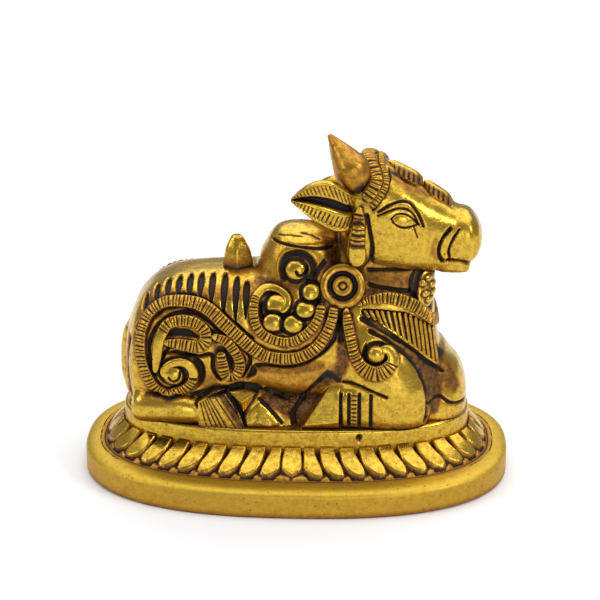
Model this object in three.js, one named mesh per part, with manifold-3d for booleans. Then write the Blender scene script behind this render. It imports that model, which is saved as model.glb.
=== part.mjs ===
// Nandi bull: a small brass casting of a seated bull with carved harness, on an oval lotus base.
// Millimetres, +Z up. The bull faces +X. The origin is the middle of the underside.
// The figure is drawn for a bull 85.5 mm long and follows bullLength as shares of it.
// Figure coordinates: x forward, y across with the richer carved side at negative y, z above the plinth.

import * as THREE from 'three';
import { mergeVertices } from 'three/addons/utils/BufferGeometryUtils.js';
import Module from 'manifold-3d';

// Driving sizes

const bullLength = 85.5;        // rump to muzzle
const plinthMargin = 0.5;       // step of bare plinth outside the legs
const plinthHeight = 5.6;
const petalBandHeight = 3.6;    // rise of the sloping petal band
const petalReachEnd = 4.7;      // petal band seen from above, at the ends
const petalReachSide = 7.6;     // the same at the long sides
const rimEnd = 4.8;             // plain rim outside the petals, at the ends
const rimSide = 5.8;            // the same at the long sides
const slabHeight = 6.8;
const slabEdgeRadius = 1.6;
const petalPitch = 4.6;
const petalGap = 0.5;
const petalRelief = 0.9;
const petalStep = 0.6;          // low riser at the foot of the petal band
const footBevel = 0.5;          // bevel round the underside
const ovalPower = 2.45;         // squareness of the oval outlines

// Shares of the bull

const drawnLength = 85.5;
const share = bullLength / drawnLength;
const garlandWidth = 2.8 * share;
const bandRelief = 1.0 * share;
const fluteWidth = 1.6 * share; // at the middle of a flute
const fluteDepth = 0.5 * share; // at the two ends, and more where the back rises between them
const sunk = 0.7 * share;       // how far carved bands reach below the skin

const figureHalf = 40.9 * share;
const legReach = 17.9 * share;
const plinthTop = slabHeight + petalBandHeight + plinthHeight;

const wasm = await Module();
wasm.setup();

// Solids

function solid(geometry) {
  geometry.deleteAttribute('normal');
  geometry.deleteAttribute('uv');
  const merged = mergeVertices(geometry, 1e-5);
  const mesh = new wasm.Mesh({
    numProp: 3,
    vertProperties: new Float32Array(merged.attributes.position.array),
    triVerts: new Uint32Array(merged.index.array),
  });
  return new wasm.Manifold(mesh);
}

function joined(solids) {
  return solids.reduce((whole, piece) => whole.add(piece));
}

function mirrored(piece) {
  return piece.mirror([0, 1, 0]);
}

function bothSides(piece) {
  return piece.add(mirrored(piece));
}

function figurePoint(x, y, z) {
  return new THREE.Vector3(x, y, z).multiplyScalar(share);
}

// A closed skin through rings with equal counts of points, with a fan on each end
function ringBody(rings) {
  const count = rings[0].length;
  const faces = [];
  for (let ring = 0; ring + 1 < rings.length; ring++) {
    for (let i = 0; i < count; i++) {
      const j = (i + 1) % count;
      const low = ring * count;
      const high = low + count;
      faces.push(low + i, low + j, high + j, low + i, high + j, high + i);
    }
  }
  const last = (rings.length - 1) * count;
  for (let i = 1; i + 1 < count; i++) {
    faces.push(0, i + 1, i);
    faces.push(last, last + i, last + i + 1);
  }
  const geometry = new THREE.BufferGeometry().setFromPoints(rings.flat());
  geometry.setIndex(faces);
  const body = solid(geometry);
  if (body.volume() > 0) return body;
  geometry.setIndex(faces.reverse());
  return solid(geometry);
}

// Forms: squared ellipses along x or z, given by stations and blended smoothly between them

// A monotone cubic through one column of the stations
function blend(rows, column) {
  const at = rows.map((row) => row[0] * share);
  const value = rows.map((row) => row[column] * share);
  const span = at.slice(1).map((x, i) => x - at[i]);
  const slope = span.map((width, i) => (value[i + 1] - value[i]) / width);
  const tangent = value.map((_, i) => {
    if (i === 0) return slope[0];
    if (i === value.length - 1) return slope[i - 1];
    if (slope[i - 1] * slope[i] <= 0) return 0;
    const before = 2 * span[i] + span[i - 1];
    const after = span[i] + 2 * span[i - 1];
    return (before + after) / (before / slope[i - 1] + after / slope[i]);
  });
  return (x) => {
    const inside = THREE.MathUtils.clamp(x, at[0], at[at.length - 1]);
    let i = 0;
    while (i < span.length - 1 && inside > at[i + 1]) i++;
    const t = (inside - at[i]) / span[i];
    const rest = 1 - t;
    return (1 + 2 * t) * rest * rest * value[i] + t * rest * rest * span[i] * tangent[i]
      + t * t * (3 - 2 * t) * value[i + 1] - t * t * rest * span[i] * tangent[i + 1];
  };
}

class Form {
  // Each station: place along the axis, then low and high on the two cross directions.
  // Axis x has y and z across it, and axis z has x and y.
  constructor(axis, power, rows) {
    this.axis = axis;
    this.power = power;
    this.from = rows[0][0] * share;
    this.to = rows[rows.length - 1][0] * share;
    this.edges = [1, 2, 3, 4].map((column) => blend(rows, column));
  }

  section(along) {
    const [lowA, highA, lowB, highB] = this.edges.map((edge) => edge(along));
    return {
      midA: (lowA + highA) / 2, halfA: (highA - lowA) / 2,
      midB: (lowB + highB) / 2, halfB: (highB - lowB) / 2,
    };
  }

  ring(along, sides, grown) {
    const { midA, halfA, midB, halfB } = this.section(along);
    const round = (value) => Math.sign(value) * Math.abs(value) ** (2 / this.power);
    return Array.from({ length: sides }, (_, i) => {
      const angle = (i + 0.5) / sides * 2 * Math.PI;
      const a = midA + (halfA + grown) * round(Math.cos(angle));
      const b = midB + (halfB + grown) * round(Math.sin(angle));
      return this.axis === 'x' ? new THREE.Vector3(along, a, b) : new THREE.Vector3(a, b, along);
    });
  }

  // Rings lie a little closer together towards the two ends
  body(rings, sides, grown = 0) {
    const from = this.from - grown;
    const length = this.to + grown - from;
    return ringBody(Array.from({ length: rings }, (_, i) => {
      const even = i / (rings - 1);
      const eased = (1 - Math.cos(Math.PI * even)) / 2;
      return this.ring(from + length * (even + eased) / 2, sides, grown);
    }));
  }

  // Where the near side lies at a point of the side view, or null outside the form
  nearY(x, z) {
    const along = this.axis === 'x' ? x : z;
    if (along < this.from || along > this.to) return null;
    const { midA, halfA, midB, halfB } = this.section(along);
    const [across, mid, half, yMid, yHalf] = this.axis === 'x'
      ? [z, midB, halfB, midA, halfA]
      : [x, midA, halfA, midB, halfB];
    const offset = Math.abs(across - mid) / half;
    if (offset >= 1) return null;
    return yMid - yHalf * (1 - offset ** this.power) ** (1 / this.power);
  }

  // The height of the top at a point seen from above, for a form along x
  topZ(x, y) {
    const { midA, halfA, midB, halfB } = this.section(x);
    const offset = Math.min(Math.abs(y - midA) / halfA, 0.999);
    return midB + halfB * (1 - offset ** this.power) ** (1 / this.power);
  }
}

const torso = new Form('x', 2.7, [
  [-40.3, -5, 5, 5, 16], [-39.8, -8.5, 8.5, 3, 19.5], [-38.8, -11.5, 11.5, 1, 23],
  [-37, -14, 14, -0.2, 26.8], [-33, -15.5, 15.5, -0.8, 30.8], [-28, -16, 16, -1, 33],
  [-20, -15.8, 15.8, -1, 34.2], [-12, -15.6, 15.6, 0.8, 34.6], [-5, -15.5, 15.5, 2.6, 34.6],
  [2, -15.9, 15.9, 2.6, 34.2], [8, -16, 16, 1.4, 33], [14, -16.2, 16.2, 0, 30],
  [22, -16, 16, -1, 24], [28, -14.6, 14.6, -1, 19], [33, -11.5, 11.5, -1, 14],
]);

// The dark mass under the belly, set back between the hooves
const belly = new Form('x', 5, [
  [-22, -14.4, 14.4, -0.6, 8], [0, -14.3, 14.3, -0.6, 7.2], [24, -14.4, 14.4, -0.6, 7],
]);

const neck = new Form('z', 2.6, [
  [1, 4, 33, -12, 12], [8, 2, 34.6, -14, 14], [14, 1, 35, -14.6, 14.6], [20, 2, 34.6, -13.6, 13.6],
  [25, 4, 33.8, -12.2, 12.2], [30, 7, 33.3, -10.6, 10.6], [36, 9, 32.9, -9.3, 9.3],
  [42, 10, 30, -8.8, 8.8], [48, 11, 28, -8, 8],
]);

const brisket = new Form('z', 2.4, [
  [-0.6, 24, 40.9, -11.5, 11.5], [4, 24, 40.8, -10.8, 10.8], [8, 25, 40.2, -9.6, 9.6],
  [11, 26, 39, -8.6, 8.6], [13.5, 27, 36.9, -7.8, 7.8], [16.5, 28, 34.8, -7, 7],
]);

const hump = new Form('z', 2.3, [
  [28, -11, 15, -12, 12], [34, -9.2, 13, -10.6, 10.6], [38, -8.3, 11.5, -9.6, 9.6],
  [41, -6.8, 10, -8.6, 8.6], [42.6, -5.9, 9.4, -7.8, 7.8], [43.8, -4.9, 7.5, -5.8, 5.8],
  [44.8, -3.2, 4.5, -3.4, 3.4], [45.2, -1.8, 2, -1.4, 1.4],
]);

const skull = new Form('x', 2.5, [
  [11, -3, 3, 42, 56], [12, -6.5, 6.5, 38.5, 59.5], [14, -8.5, 8.5, 36.2, 61.6],
  [17, -9.6, 9.6, 34.7, 62], [21, -10, 10, 34.1, 60.4], [25, -10, 10, 34, 58],
  [29, -9.2, 9.2, 34.2, 55.2], [33, -8.1, 8.1, 34.6, 52.6], [36, -7.2, 7.2, 35, 50.7],
  [37.6, -6.9, 6.9, 35.2, 49.9], [40, -7, 7, 36, 49.2], [42, -5.9, 5.9, 38, 47.2],
  [43.3, -4, 4, 40.6, 44.8],
]);

const shoulder = new Form('z', 2.4, [
  [-0.6, 14.5, 31, -16.8, -4], [3, 12.6, 32.2, -17.7, -4], [8, 12, 31.9, -17.9, -4],
  [13, 12, 30, -17.4, -4], [18, 12.4, 27, -16.6, -4], [22, 13.5, 24, -15.4, -5],
  [25.5, 15.8, 20.4, -13.6, -6],
]);

const shin = new Form('x', 3, [
  [9.5, -17.2, -8, -0.6, 10], [14, -17.6, -8, -0.6, 10.4], [20, -17.9, -8, -0.6, 9.6],
  [27, -17, -8, -0.6, 7.6], [31, -15, -8, -0.6, 6],
]);

const hindLeg = new Form('x', 2.2, [
  [-38.4, -14, -8, 1, 5], [-37.4, -16.2, -6, 0, 7.6], [-35, -17.3, -5, -0.6, 8.7],
  [-30, -17.9, -5, -0.6, 8.9], [-25, -17.8, -5, -0.6, 8], [-21.8, -17.4, -6, -0.6, 6.6],
]);

const tail = new Form('z', 2.2, [
  [1, -40.7, -37, -1.8, 1.8], [3.5, -41.3, -37, -2.3, 2.3], [8, -42.1, -37, -2.6, 2.6],
  [13, -42, -37, -2.6, 2.6], [17, -41.4, -37, -2.4, 2.4], [20.5, -39.8, -36, -2.2, 2.2],
  [24, -38.2, -34, -1.8, 1.8], [27, -37, -33, -1.4, 1.4],
]);

const finial = new Form('z', 2, [
  [33, -17.6, -10.2, -3.7, 3.7], [36, -17.2, -10.4, -3.4, 3.4], [39, -16.4, -11.2, -2.6, 2.6],
  [41, -15.4, -12.2, -1.6, 1.6], [41.8, -14.6, -13, -0.8, 0.8],
]);

// The skin: the outermost of several forms, seen from the near side

function skinOf(forms) {
  const depth = (x, z) => Math.min(...forms.map((form) => form.nearY(x, z) ?? 0));
  const step = 0.5 * share;
  return (x, z) => {
    const slopeX = (depth(x + step, z) - depth(x - step, z)) / (2 * step);
    const slopeZ = (depth(x, z + step) - depth(x, z - step)) / (2 * step);
    return {
      point: new THREE.Vector3(x, depth(x, z), z),
      normal: new THREE.Vector3(slopeX, -1, slopeZ).normalize(),
    };
  };
}

const flank = skinOf([torso, neck, hump, shoulder]);
const face = skinOf([skull, neck]);

function traced(skin, path, steps) {
  const curve = new THREE.SplineCurve(path.map(([x, z]) => new THREE.Vector2(x, z).multiplyScalar(share)));
  return curve.getSpacedPoints(steps).map(({ x, y }) => skin(x, y));
}

// A ribbon laid along traced places. Its section holds the side, as a share of the half width,
// and the lift from the skin.
function ribbon(places, width, section) {
  const widthAt = typeof width === 'function' ? width : () => width;
  return ringBody(places.map(({ point, normal }, i) => {
    const ahead = places[Math.min(i + 1, places.length - 1)].point;
    const behind = places[Math.max(i - 1, 0)].point;
    const across = ahead.clone().sub(behind).cross(normal).normalize();
    const half = widthAt(i / (places.length - 1)) / 2;
    return section.map(([side, lift]) => point.clone()
      .addScaledVector(across, side * half)
      .addScaledVector(normal, lift));
  }));
}

function band(places, width, relief) {
  return ribbon(places, width, [[-1, -sunk], [-0.62, relief], [0.62, relief], [1, -sunk]]);
}

function groove(places, width, depth, lift = sunk) {
  return ribbon(places, width, [[-1, lift], [0, -depth], [1, lift]]);
}

// A low rounded boss on the skin
function boss(skin, [x, z, wide, tall, height]) {
  const { point, normal } = skin(x * share, z * share);
  const sphere = new THREE.SphereGeometry(1, 6, 4);
  sphere.rotateX(Math.PI / 2);
  sphere.scale(wide * share, tall * share, height * share);
  sphere.applyMatrix4(new THREE.Matrix4().lookAt(normal, new THREE.Vector3(), new THREE.Vector3(0, 0, 1)));
  sphere.translate(point.x, point.y, point.z);
  return solid(sphere);
}

// A flat outline in the side view, run across the figure from one y to another
function slice(outline, fromY, toY) {
  const shape = new THREE.Shape(outline.map(([x, z]) => new THREE.Vector2(x * share, z * share)));
  const geometry = new THREE.ExtrudeGeometry(shape, { depth: (toY - fromY) * share, bevelEnabled: false });
  geometry.rotateX(Math.PI / 2);
  geometry.translate(0, toY * share, 0);
  return solid(geometry);
}

// A strip in the side view around a line, as an outline
function stripOutline(path, width, steps) {
  const curve = new THREE.SplineCurve(path.map(([x, z]) => new THREE.Vector2(x, z)));
  const edge = (side) => curve.getSpacedPoints(steps).map((place, i) => {
    const tangent = curve.getTangentAt(i / steps);
    return [place.x - side * tangent.y * width / 2, place.y + side * tangent.x * width / 2];
  });
  return [...edge(-1), ...edge(1).reverse()];
}

// A faceted hoof: one outline inside the body and at its shoulder, and a smaller one as its outer face
function hoofBody(outline, innerY, shoulderY, faceOutline, faceY) {
  const ring = (points, y) => points.map(([x, z]) => figurePoint(x, y, z));
  return ringBody([ring(outline, innerY), ring(outline, shoulderY), ring(faceOutline, faceY)]);
}

// Base: slab, sloping petal band and plinth, all on one oval

const ovalSides = 40;
const plinthHalf = [figureHalf + plinthMargin, legReach + plinthMargin];
const petalHalf = [plinthHalf[0] + petalReachEnd, plinthHalf[1] + petalReachSide];
const slabHalf = [petalHalf[0] + rimEnd, petalHalf[1] + rimSide];

function ovalRing([halfLength, halfDepth], grown, z, sides) {
  const round = (value) => Math.sign(value) * Math.abs(value) ** (2 / ovalPower);
  return Array.from({ length: sides }, (_, i) => {
    const angle = i / sides * 2 * Math.PI;
    return new THREE.Vector3(
      (halfLength + grown) * round(Math.cos(angle)),
      (halfDepth + grown) * round(Math.sin(angle)),
      z,
    );
  });
}

const bandInner = [plinthHalf, footBevel, slabHeight + petalBandHeight];
const bandOuter = [petalHalf, -footBevel, slabHeight + petalStep];

function baseBody() {
  const inset = slabEdgeRadius * (1 - Math.SQRT1_2);
  const profile = [
    [slabHalf, -footBevel, 0],
    [slabHalf, 0, footBevel],
    [slabHalf, 0, slabHeight - slabEdgeRadius],
    [slabHalf, -inset, slabHeight - inset],
    [slabHalf, -slabEdgeRadius, slabHeight],
    [petalHalf, 0, slabHeight],
    bandOuter,
    bandInner,
    [plinthHalf, 0, slabHeight + petalBandHeight],
    [plinthHalf, 0, plinthTop],
  ];
  return ringBody(profile.map(([half, grown, z]) => ovalRing(half, grown, z, ovalSides)));
}

// Places on the sloping band of one quarter, by the distance walked from the end of the oval
// and the share of the way from the plinth to the outer edge
function petalBand() {
  const fine = 720;
  const quarter = fine / 4;
  const inner = ovalRing(...bandInner, fine);
  const outer = ovalRing(...bandOuter, fine);
  const middle = inner.map((point, i) => point.clone().lerp(outer[i], 0.5));
  const walked = [0];
  for (let i = 1; i <= quarter; i++) {
    walked.push(walked[i - 1] + middle[i].distanceTo(middle[i - 1]));
  }
  const length = walked[quarter];
  const count = Math.max(3, Math.round(length / petalPitch - 0.5));
  const onQuarter = (distance, out) => {
    const wanted = THREE.MathUtils.clamp(distance, 0, length);
    let i = 0;
    while (i < quarter - 1 && walked[i + 1] < wanted) i++;
    const part = (wanted - walked[i]) / (walked[i + 1] - walked[i]);
    const onRing = (ring) => ring[i].clone().lerp(ring[i + 1], part);
    return onRing(inner).lerp(onRing(outer), out);
  };
  const at = (distance, out) => {
    const beyond = distance > length;
    const point = onQuarter(beyond ? 2 * length - distance : distance, out);
    if (beyond) point.x = -point.x;
    return point;
  };
  return { count, pitch: length / (count + 0.5), length, at };
}

// One petal: a low pad with a round outer end. Sweep leans both its ends towards the end of the oval.
function petal({ at }, middle, halfWidth, sweep) {
  const outline = [[-0.8, 0.04], [0.8, 0.04], [1, 0.76], [0, 1], [-1, 0.76]];
  const ring = (scale, lift) => outline.map(([side, out]) => {
    const lean = sweep * (out * out - 0.5);
    const point = at(middle + side * halfWidth * scale - lean, 0.5 + (out - 0.5) * scale);
    point.z += lift;
    return point;
  });
  return ringBody([ring(1, -petalStep), ring(0.84, petalRelief)]);
}

function petals() {
  const row = petalBand();
  const half = (row.pitch - petalGap) / 2;
  const centre = petal(row, row.length, half * 1.2, 0);
  const list = [centre, mirrored(centre)];
  for (let i = 0; i < row.count; i++) {
    const one = petal(row, (i + 0.5) * row.pitch, half, row.pitch * 0.45);
    const opposite = one.mirror([1, 0, 0]);
    list.push(one, mirrored(one), opposite, mirrored(opposite));
  }
  return list;
}

// Carving on the flank

const garlandPath = [
  [-24.4, 12.4], [-25.3, 9.6], [-28, 8.4], [-31, 8.7], [-33.4, 10.6], [-34.8, 13.6], [-35.5, 18.5],
  [-34.8, 22.8], [-32.6, 26.3], [-29, 28.6], [-25, 29.4], [-21, 28.8], [-17, 26.4], [-13, 23.2],
  [-9.4, 20], [-5.5, 18], [-1.7, 17.6], [2.3, 18.6], [5.6, 21], [8, 24.4], [9.2, 28.6],
];
const saddlePath = [
  [6.4, 29.6], [5.8, 27], [4.6, 25], [2.6, 23], [0, 21.6], [-2.6, 21.4], [-5.4, 22.1], [-7.6, 23.6], [-9, 26],
  [-9.4, 29], [-8.6, 31.4], [-6.8, 32.4], [-4.6, 32.6], [-2.6, 32.1], [-1.4, 30.4],
];
const leafPath = [
  [-31.8, 13.6], [-31.9, 18.6], [-31, 22.4], [-29, 25], [-26, 26], [-23, 25.7], [-20.8, 24.4], [-19.6, 22.4],
  [-20.4, 20.4], [-22.8, 20.2], [-25.2, 21.2], [-28.6, 21.6],
];
const loopPath = [
  [-17.8, 22.4], [-15.1, 20.7], [-13.2, 18.4], [-12.3, 15.5], [-13.6, 13.2], [-15.8, 12.9], [-16.6, 15.4],
  [-17.2, 18.4],
];
const strapPath = [
  [13.3, 28.4], [13.7, 24.4], [14.6, 20.6], [16.4, 16.9], [19.2, 14.8], [22, 15.4], [23.7, 17.4],
];
const spiralPath = [
  [-2.6, 34.6], [-3.1, 37.4], [-1.9, 39.4], [0.6, 40.3], [2.9, 39.6], [4.2, 37.4], [3.7, 35],
];

// Raised bands: path, steps, width and relief
const mainBands = [
  [garlandPath, 21, garlandWidth, bandRelief],
  [saddlePath, 13, garlandWidth * 0.88, bandRelief],
  [strapPath, 7, garlandWidth * 1.15, bandRelief * 1.1],
];
const haunchBands = [
  [leafPath, 11, garlandWidth * 0.78, bandRelief * 0.8],
  [loopPath, 8, garlandWidth * 0.75, bandRelief * 0.8],
];

// Bosses: place, then half width, half height and relief
const mainBosses = [[-27.9, 12.9, 2.5, 2.5, 1.2], [-4, 29.3, 2.6, 1.8, 1.1], [19.4, 19.2, 2.6, 2.6, 1.4]];
const smallBosses = [
  [-4.6, 25.9, 2.1, 1.8, 1.1], [-0.3, 25.7, 2.1, 1.9, 1.1], [2.1, 28.5, 2, 2, 1.1], [3.6, 31.4, 2.1, 2, 1.1],
  [0.4, 36.8, 1.9, 2.1, 1],
];

function flankCarving(bands, bosses, stepShare) {
  const raised = bands.map(([path, steps, width, relief]) => (
    band(traced(flank, path, Math.round(steps * stepShare)), width, relief)));
  return [...raised, ...bosses.map((place) => boss(flank, place))];
}

// Flutes over the back, between the spine and the garland: x, then where each begins and ends across y
const fluteEnds = [
  [-34.9, -4.5, -9.8], [-32.2, -3.6, -10.2], [-29.6, -3.6, -10.6], [-27, -3.6, -11], [-24.4, -3.6, -11.2],
  [-21.8, -3.6, -11.4], [-19.1, -4, -12], [-16.4, -5.4, -13.2], [-13.7, -6.6, -13.6], [-11.2, -7.6, -13.2],
];

function fluteCutters() {
  const step = 0.4 * share;
  const onBack = (x, y) => {
    const slopeX = (torso.topZ(x + step, y) - torso.topZ(x - step, y)) / (2 * step);
    const slopeY = (torso.topZ(x, y + step) - torso.topZ(x, y - step)) / (2 * step);
    return {
      point: new THREE.Vector3(x, y, torso.topZ(x, y)),
      normal: new THREE.Vector3(-slopeX, -slopeY, 1).normalize(),
    };
  };
  const lift = 2 * share;
  return fluteEnds.map(([x, ...ends]) => (
    groove(ends.map((y) => onBack(x * share, y * share)), 2 * fluteWidth, fluteDepth, lift)));
}

// Collar: a carved band round the neck with a pleated fringe below it
const collarPath = [[12, 31.2], [16.5, 30.4], [23, 30], [28.2, 28.1], [33.2, 24.6], [36.4, 21.8]];
const fringeFoot = [[15.6, 26.4], [21.3, 24.4], [27.2, 20.3], [31.5, 16.3], [36.6, 10.6]];
const pleatCount = 9;
const pleatFill = 0.68;         // share of each pitch that is raised

function collar() {
  const across = 20;
  const strip = slice(stripOutline(collarPath, 3, 5), -across, across);
  const ring = neck.body(9, 14, 1.1 * share).intersect(strip);
  const line = (path) => new THREE.SplineCurve(path.map(([x, z]) => new THREE.Vector2(x, z)));
  const top = line(collarPath.slice(1));
  const foot = line(fringeFoot);
  const pleats = Array.from({ length: pleatCount }, (_, i) => {
    const from = i / pleatCount;
    const to = (i + pleatFill) / pleatCount;
    const corners = [top.getPointAt(from), foot.getPointAt(from), foot.getPointAt(to), top.getPointAt(to)];
    return slice(corners.map(({ x, y }) => [x, y]), -across, across);
  });
  return ring.add(neck.body(8, 14, 0.9 * share).intersect(joined(pleats)));
}

// Shoulder rosette: turned rings facing out and a little up
function rosette() {
  const profile = [[0, -2], [5, -2], [5, 1.2], [3.6, 1.5], [3, 0.4], [2.3, 0.4], [1.9, 1.3], [0, 1.3]];
  const tilt = THREE.MathUtils.degToRad(16);
  const geometry = new THREE.LatheGeometry(
    profile.map(([radius, height]) => new THREE.Vector2(radius * share, height * share)), 12);
  geometry.rotateX(Math.PI - tilt);
  geometry.translate(11.2 * share, -9.6 * share, 33.2 * share);
  return solid(geometry);
}

// Head

const browPath = [[19.2, 52.8], [22.2, 54], [25.2, 53.9], [27.5, 52.6], [28.5, 50.4], [29.3, 47.6]];
const eyePlace = [25.2, 49.8, 3, 1.7, 0.8];
const cheekStrapPath = [[14.7, 51.6], [15, 47.4], [14.9, 43], [14.6, 38.6]];
const muzzleLines = [[[35.1, 46.4], [33.6, 43.7], [33.5, 40.2]], [[36.9, 46.2], [35.8, 43.3], [35.7, 39.6]]];
const mouth = [[35.4, 37.9], [45, 37.4], [45, 38.3], [35.6, 38.4]];
const headbandPath = [[18.6, 64], [19.9, 60.8], [19.6, 57.6], [17.8, 54.6], [15.2, 52]];
const headbandWidth = 4.4;
// Ridge ornament in two lengths: x and top z of its four stations, with the half width there
const ridges = [
  [[21.4, 60, 1.6], [22.6, 61.2, 2.6], [27, 59.2, 2.8], [29.2, 57.4, 1.6]],
  [[29.4, 56.2, 1.6], [30.4, 56.4, 2.6], [35.4, 53, 2.8], [36.8, 51, 1.6]],
];

const ridgeSunk = 2.6;

// Horns and ears are given by stations along them. The far ones sit lower, behind the near ones.
// Horn: centre and radius
const nearHorn = [
  [15.4, -8, 51.6, 1.2], [14.6, -7.2, 55, 3.4], [13.2, -6, 58.2, 4.1], [11, -4.6, 61.8, 3.1],
  [8.9, -3.2, 65.2, 1.6], [7.7, -2.4, 67.3, 0.5],
];
const farHorn = [
  [14.6, 8, 49.5, 1.2], [14, 7.2, 52.6, 3.2], [12.8, 6, 55.6, 3.7], [10.8, 4.6, 59, 2.8],
  [9, 3.2, 62.2, 1.5], [7.9, 2.4, 64.4, 0.5],
];
// Ear: centre and half height
const nearEar = [
  [14.6, -6.6, 50.6, 3.2], [12, -9.4, 51.4, 5], [9, -11, 52.9, 5.5], [6, -11.8, 54, 4.9],
  [3.4, -12.2, 54.6, 3.6], [1.2, -12.4, 54.8, 2], [-0.6, -12.5, 54.7, 0.4],
];
const farEar = nearEar.map(([x, y, z, half], i) => [x + 0.2 * i, -y * 0.93, z - 2.4 - 1.3 * i, half * 0.9]);

function horn(stations) {
  const sides = 8;
  const ends = [stations[1], stations[stations.length - 1]].map(([x, y, z]) => figurePoint(x, y, z));
  const axis = ends[1].sub(ends[0]).normalize();
  const across = axis.clone().cross(new THREE.Vector3(0, 1, 0)).normalize();
  const up = axis.clone().cross(across);
  return ringBody(stations.map(([x, y, z, radius]) => Array.from({ length: sides }, (_, i) => {
    const angle = i / sides * 2 * Math.PI;
    return figurePoint(x, y, z)
      .addScaledVector(across, Math.cos(angle) * radius * share)
      .addScaledVector(up, Math.sin(angle) * radius * share);
  })));
}

// A leaf pointing back, with a raised rim above and below a hollow that faces outwards
function ear(stations) {
  const section = [[1, 0], [0.62, 1.1], [0, -0.8], [-0.62, 1.1], [-1, 0], [-0.5, -1.5], [0.5, -1.5]];
  return ringBody(stations.map(([x, y, z, half], i) => {
    const thick = i === stations.length - 1 ? 0.3 : 1;
    return section.map(([up, out]) => figurePoint(x, y + Math.sign(y) * out * thick, z + up * half));
  }));
}

function head() {
  const strip = slice(stripOutline(headbandPath, headbandWidth, 4), -14, 14);
  const headband = skull.body(10, 12, 0.8 * share).intersect(strip);
  const ridgeRing = ([x, z, half]) => [
    figurePoint(x, half, z - ridgeSunk), figurePoint(x, half * 0.6, z),
    figurePoint(x, -half * 0.6, z), figurePoint(x, -half, z - ridgeSunk),
  ];
  const ridge = ridges.map((stations) => ringBody(stations.map(ridgeRing)));
  const brow = band(traced(face, browPath, 5), 1.2 * share, 0.5 * share);
  const cheekWidth = (t) => (2.2 + 1.8 * t) * share;
  const cheekStrap = band(traced(face, cheekStrapPath, 3), cheekWidth, 0.9 * share);
  const sides = bothSides(joined([brow, boss(face, eyePlace), cheekStrap]));
  const lines = muzzleLines.map((path) => groove(traced(face, path, 2), 1.3 * share, 0.7 * share));
  return joined([skull.body(10, 14), headband, ...ridge, sides])
    .subtract(slice(mouth, -14, 14))
    .subtract(bothSides(joined(lines)));
}

// Legs and hooves

const ankletPlaces = [11.1, 13, 15.4, 18.1];
const ankletGroove = 0.6;

function anklets() {
  return joined(ankletPlaces.map((x) => {
    const [left, right] = [x - ankletGroove / 2, x + ankletGroove / 2];
    return slice([[left, 0.6], [right, 0.6], [right, 9.4], [left, 9.4]], -20, -16.8);
  }));
}

function foreleg() {
  const hoof = hoofBody(
    [[0.6, -0.6], [1.2, 2.4], [5, 10.6], [11, 10.6], [11, -0.6]], -9, -13,
    [[2.6, -0.6], [3.4, 1.8], [7.6, 10], [11, 9.6], [11, -0.6]], -17.5);
  return joined([shoulder.body(7, 9), shin.body(4, 8), hoof]);
}

function hindFeet() {
  const hoof = hoofBody(
    [[-22, -0.6], [-22, 7.4], [-19, 8.6], [-15.1, 8.6], [-11.2, -0.6]], -9, -15.6,
    [[-21.6, 0.8], [-21.6, 6.8], [-19, 7.8], [-18, 7.8], [-12.2, -0.6]], -17.9);
  const heel = hoofBody(
    [[-15.6, 8.2], [-8.2, 8.4], [-11.8, 1.4]], -9, -14.6, [[-14, 7], [-9.8, 7.2], [-11.6, 3.8]], -16.2);
  const toe = hoofBody(
    [[-12.2, -0.6], [-7.4, 6.6], [-2, -0.6]], -9, -14.6, [[-10.2, 0.2], [-7.3, 4.6], [-4, 0.2]], -16.8);
  return joined([hoof, heel, toe]);
}

function bull() {
  const flutes = fluteCutters();
  const farFlutes = flutes.filter((_, i) => i % 2 === 0).map(mirrored);
  const bodies = joined([
    torso.body(13, 18), belly.body(2, 8), neck.body(7, 13), brisket.body(6, 10), hump.body(7, 12),
  ]);
  const spiral = groove(traced(flank, spiralPath, 7), 1.3 * share, 0.9 * share);
  const legs = bothSides(joined([foreleg(), hindLeg.body(6, 9), hindFeet()])).subtract(anklets());
  return joined([
    bodies.subtract(joined([...flutes, ...farFlutes, spiral, mirrored(spiral)])),
    legs, collar(), tail.body(6, 6), finial.body(5, 8), head(), bothSides(rosette()),
    horn(nearHorn), horn(farHorn), ear(nearEar), ear(farEar),
    ...flankCarving([...mainBands, ...haunchBands], [...mainBosses, ...smallBosses], 1),
    ...flankCarving(mainBands, mainBosses, 0.55).map(mirrored),
  ]);
}

function meshOf(name, body, material) {
  const { numProp, vertProperties, triVerts } = body.getMesh();
  const positions = new Float32Array(vertProperties.length / numProp * 3);
  for (let i = 0; i * numProp < vertProperties.length; i++) {
    positions.set(vertProperties.subarray(i * numProp, i * numProp + 3), i * 3);
  }
  const geometry = new THREE.BufferGeometry();
  geometry.setAttribute('position', new THREE.BufferAttribute(positions, 3));
  geometry.setIndex(new THREE.BufferAttribute(triVerts, 1));
  geometry.computeVertexNormals();
  const mesh = new THREE.Mesh(geometry, material);
  mesh.name = name;
  return mesh;
}

const whole = joined([baseBody(), ...petals(), bull().translate([0, 0, plinthTop])]);
const brass = new THREE.MeshStandardMaterial({
  name: 'brass', color: 0xc79a34, roughness: 0.32, metalness: 1,
});
const figure = new THREE.Group();
figure.add(meshOf('nandi_figure', whole, brass));

export default figure;
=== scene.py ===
# Nandi bull: a small brass casting of a seated bull with carved harness, on an oval lotus base.
# Sizes are millimetres until a mesh is made. The bull faces +X.
# Figure coordinates: x forward, y across, z above the plinth's top.
# The side at negative y, which the camera sees, is carved more richly.

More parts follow.
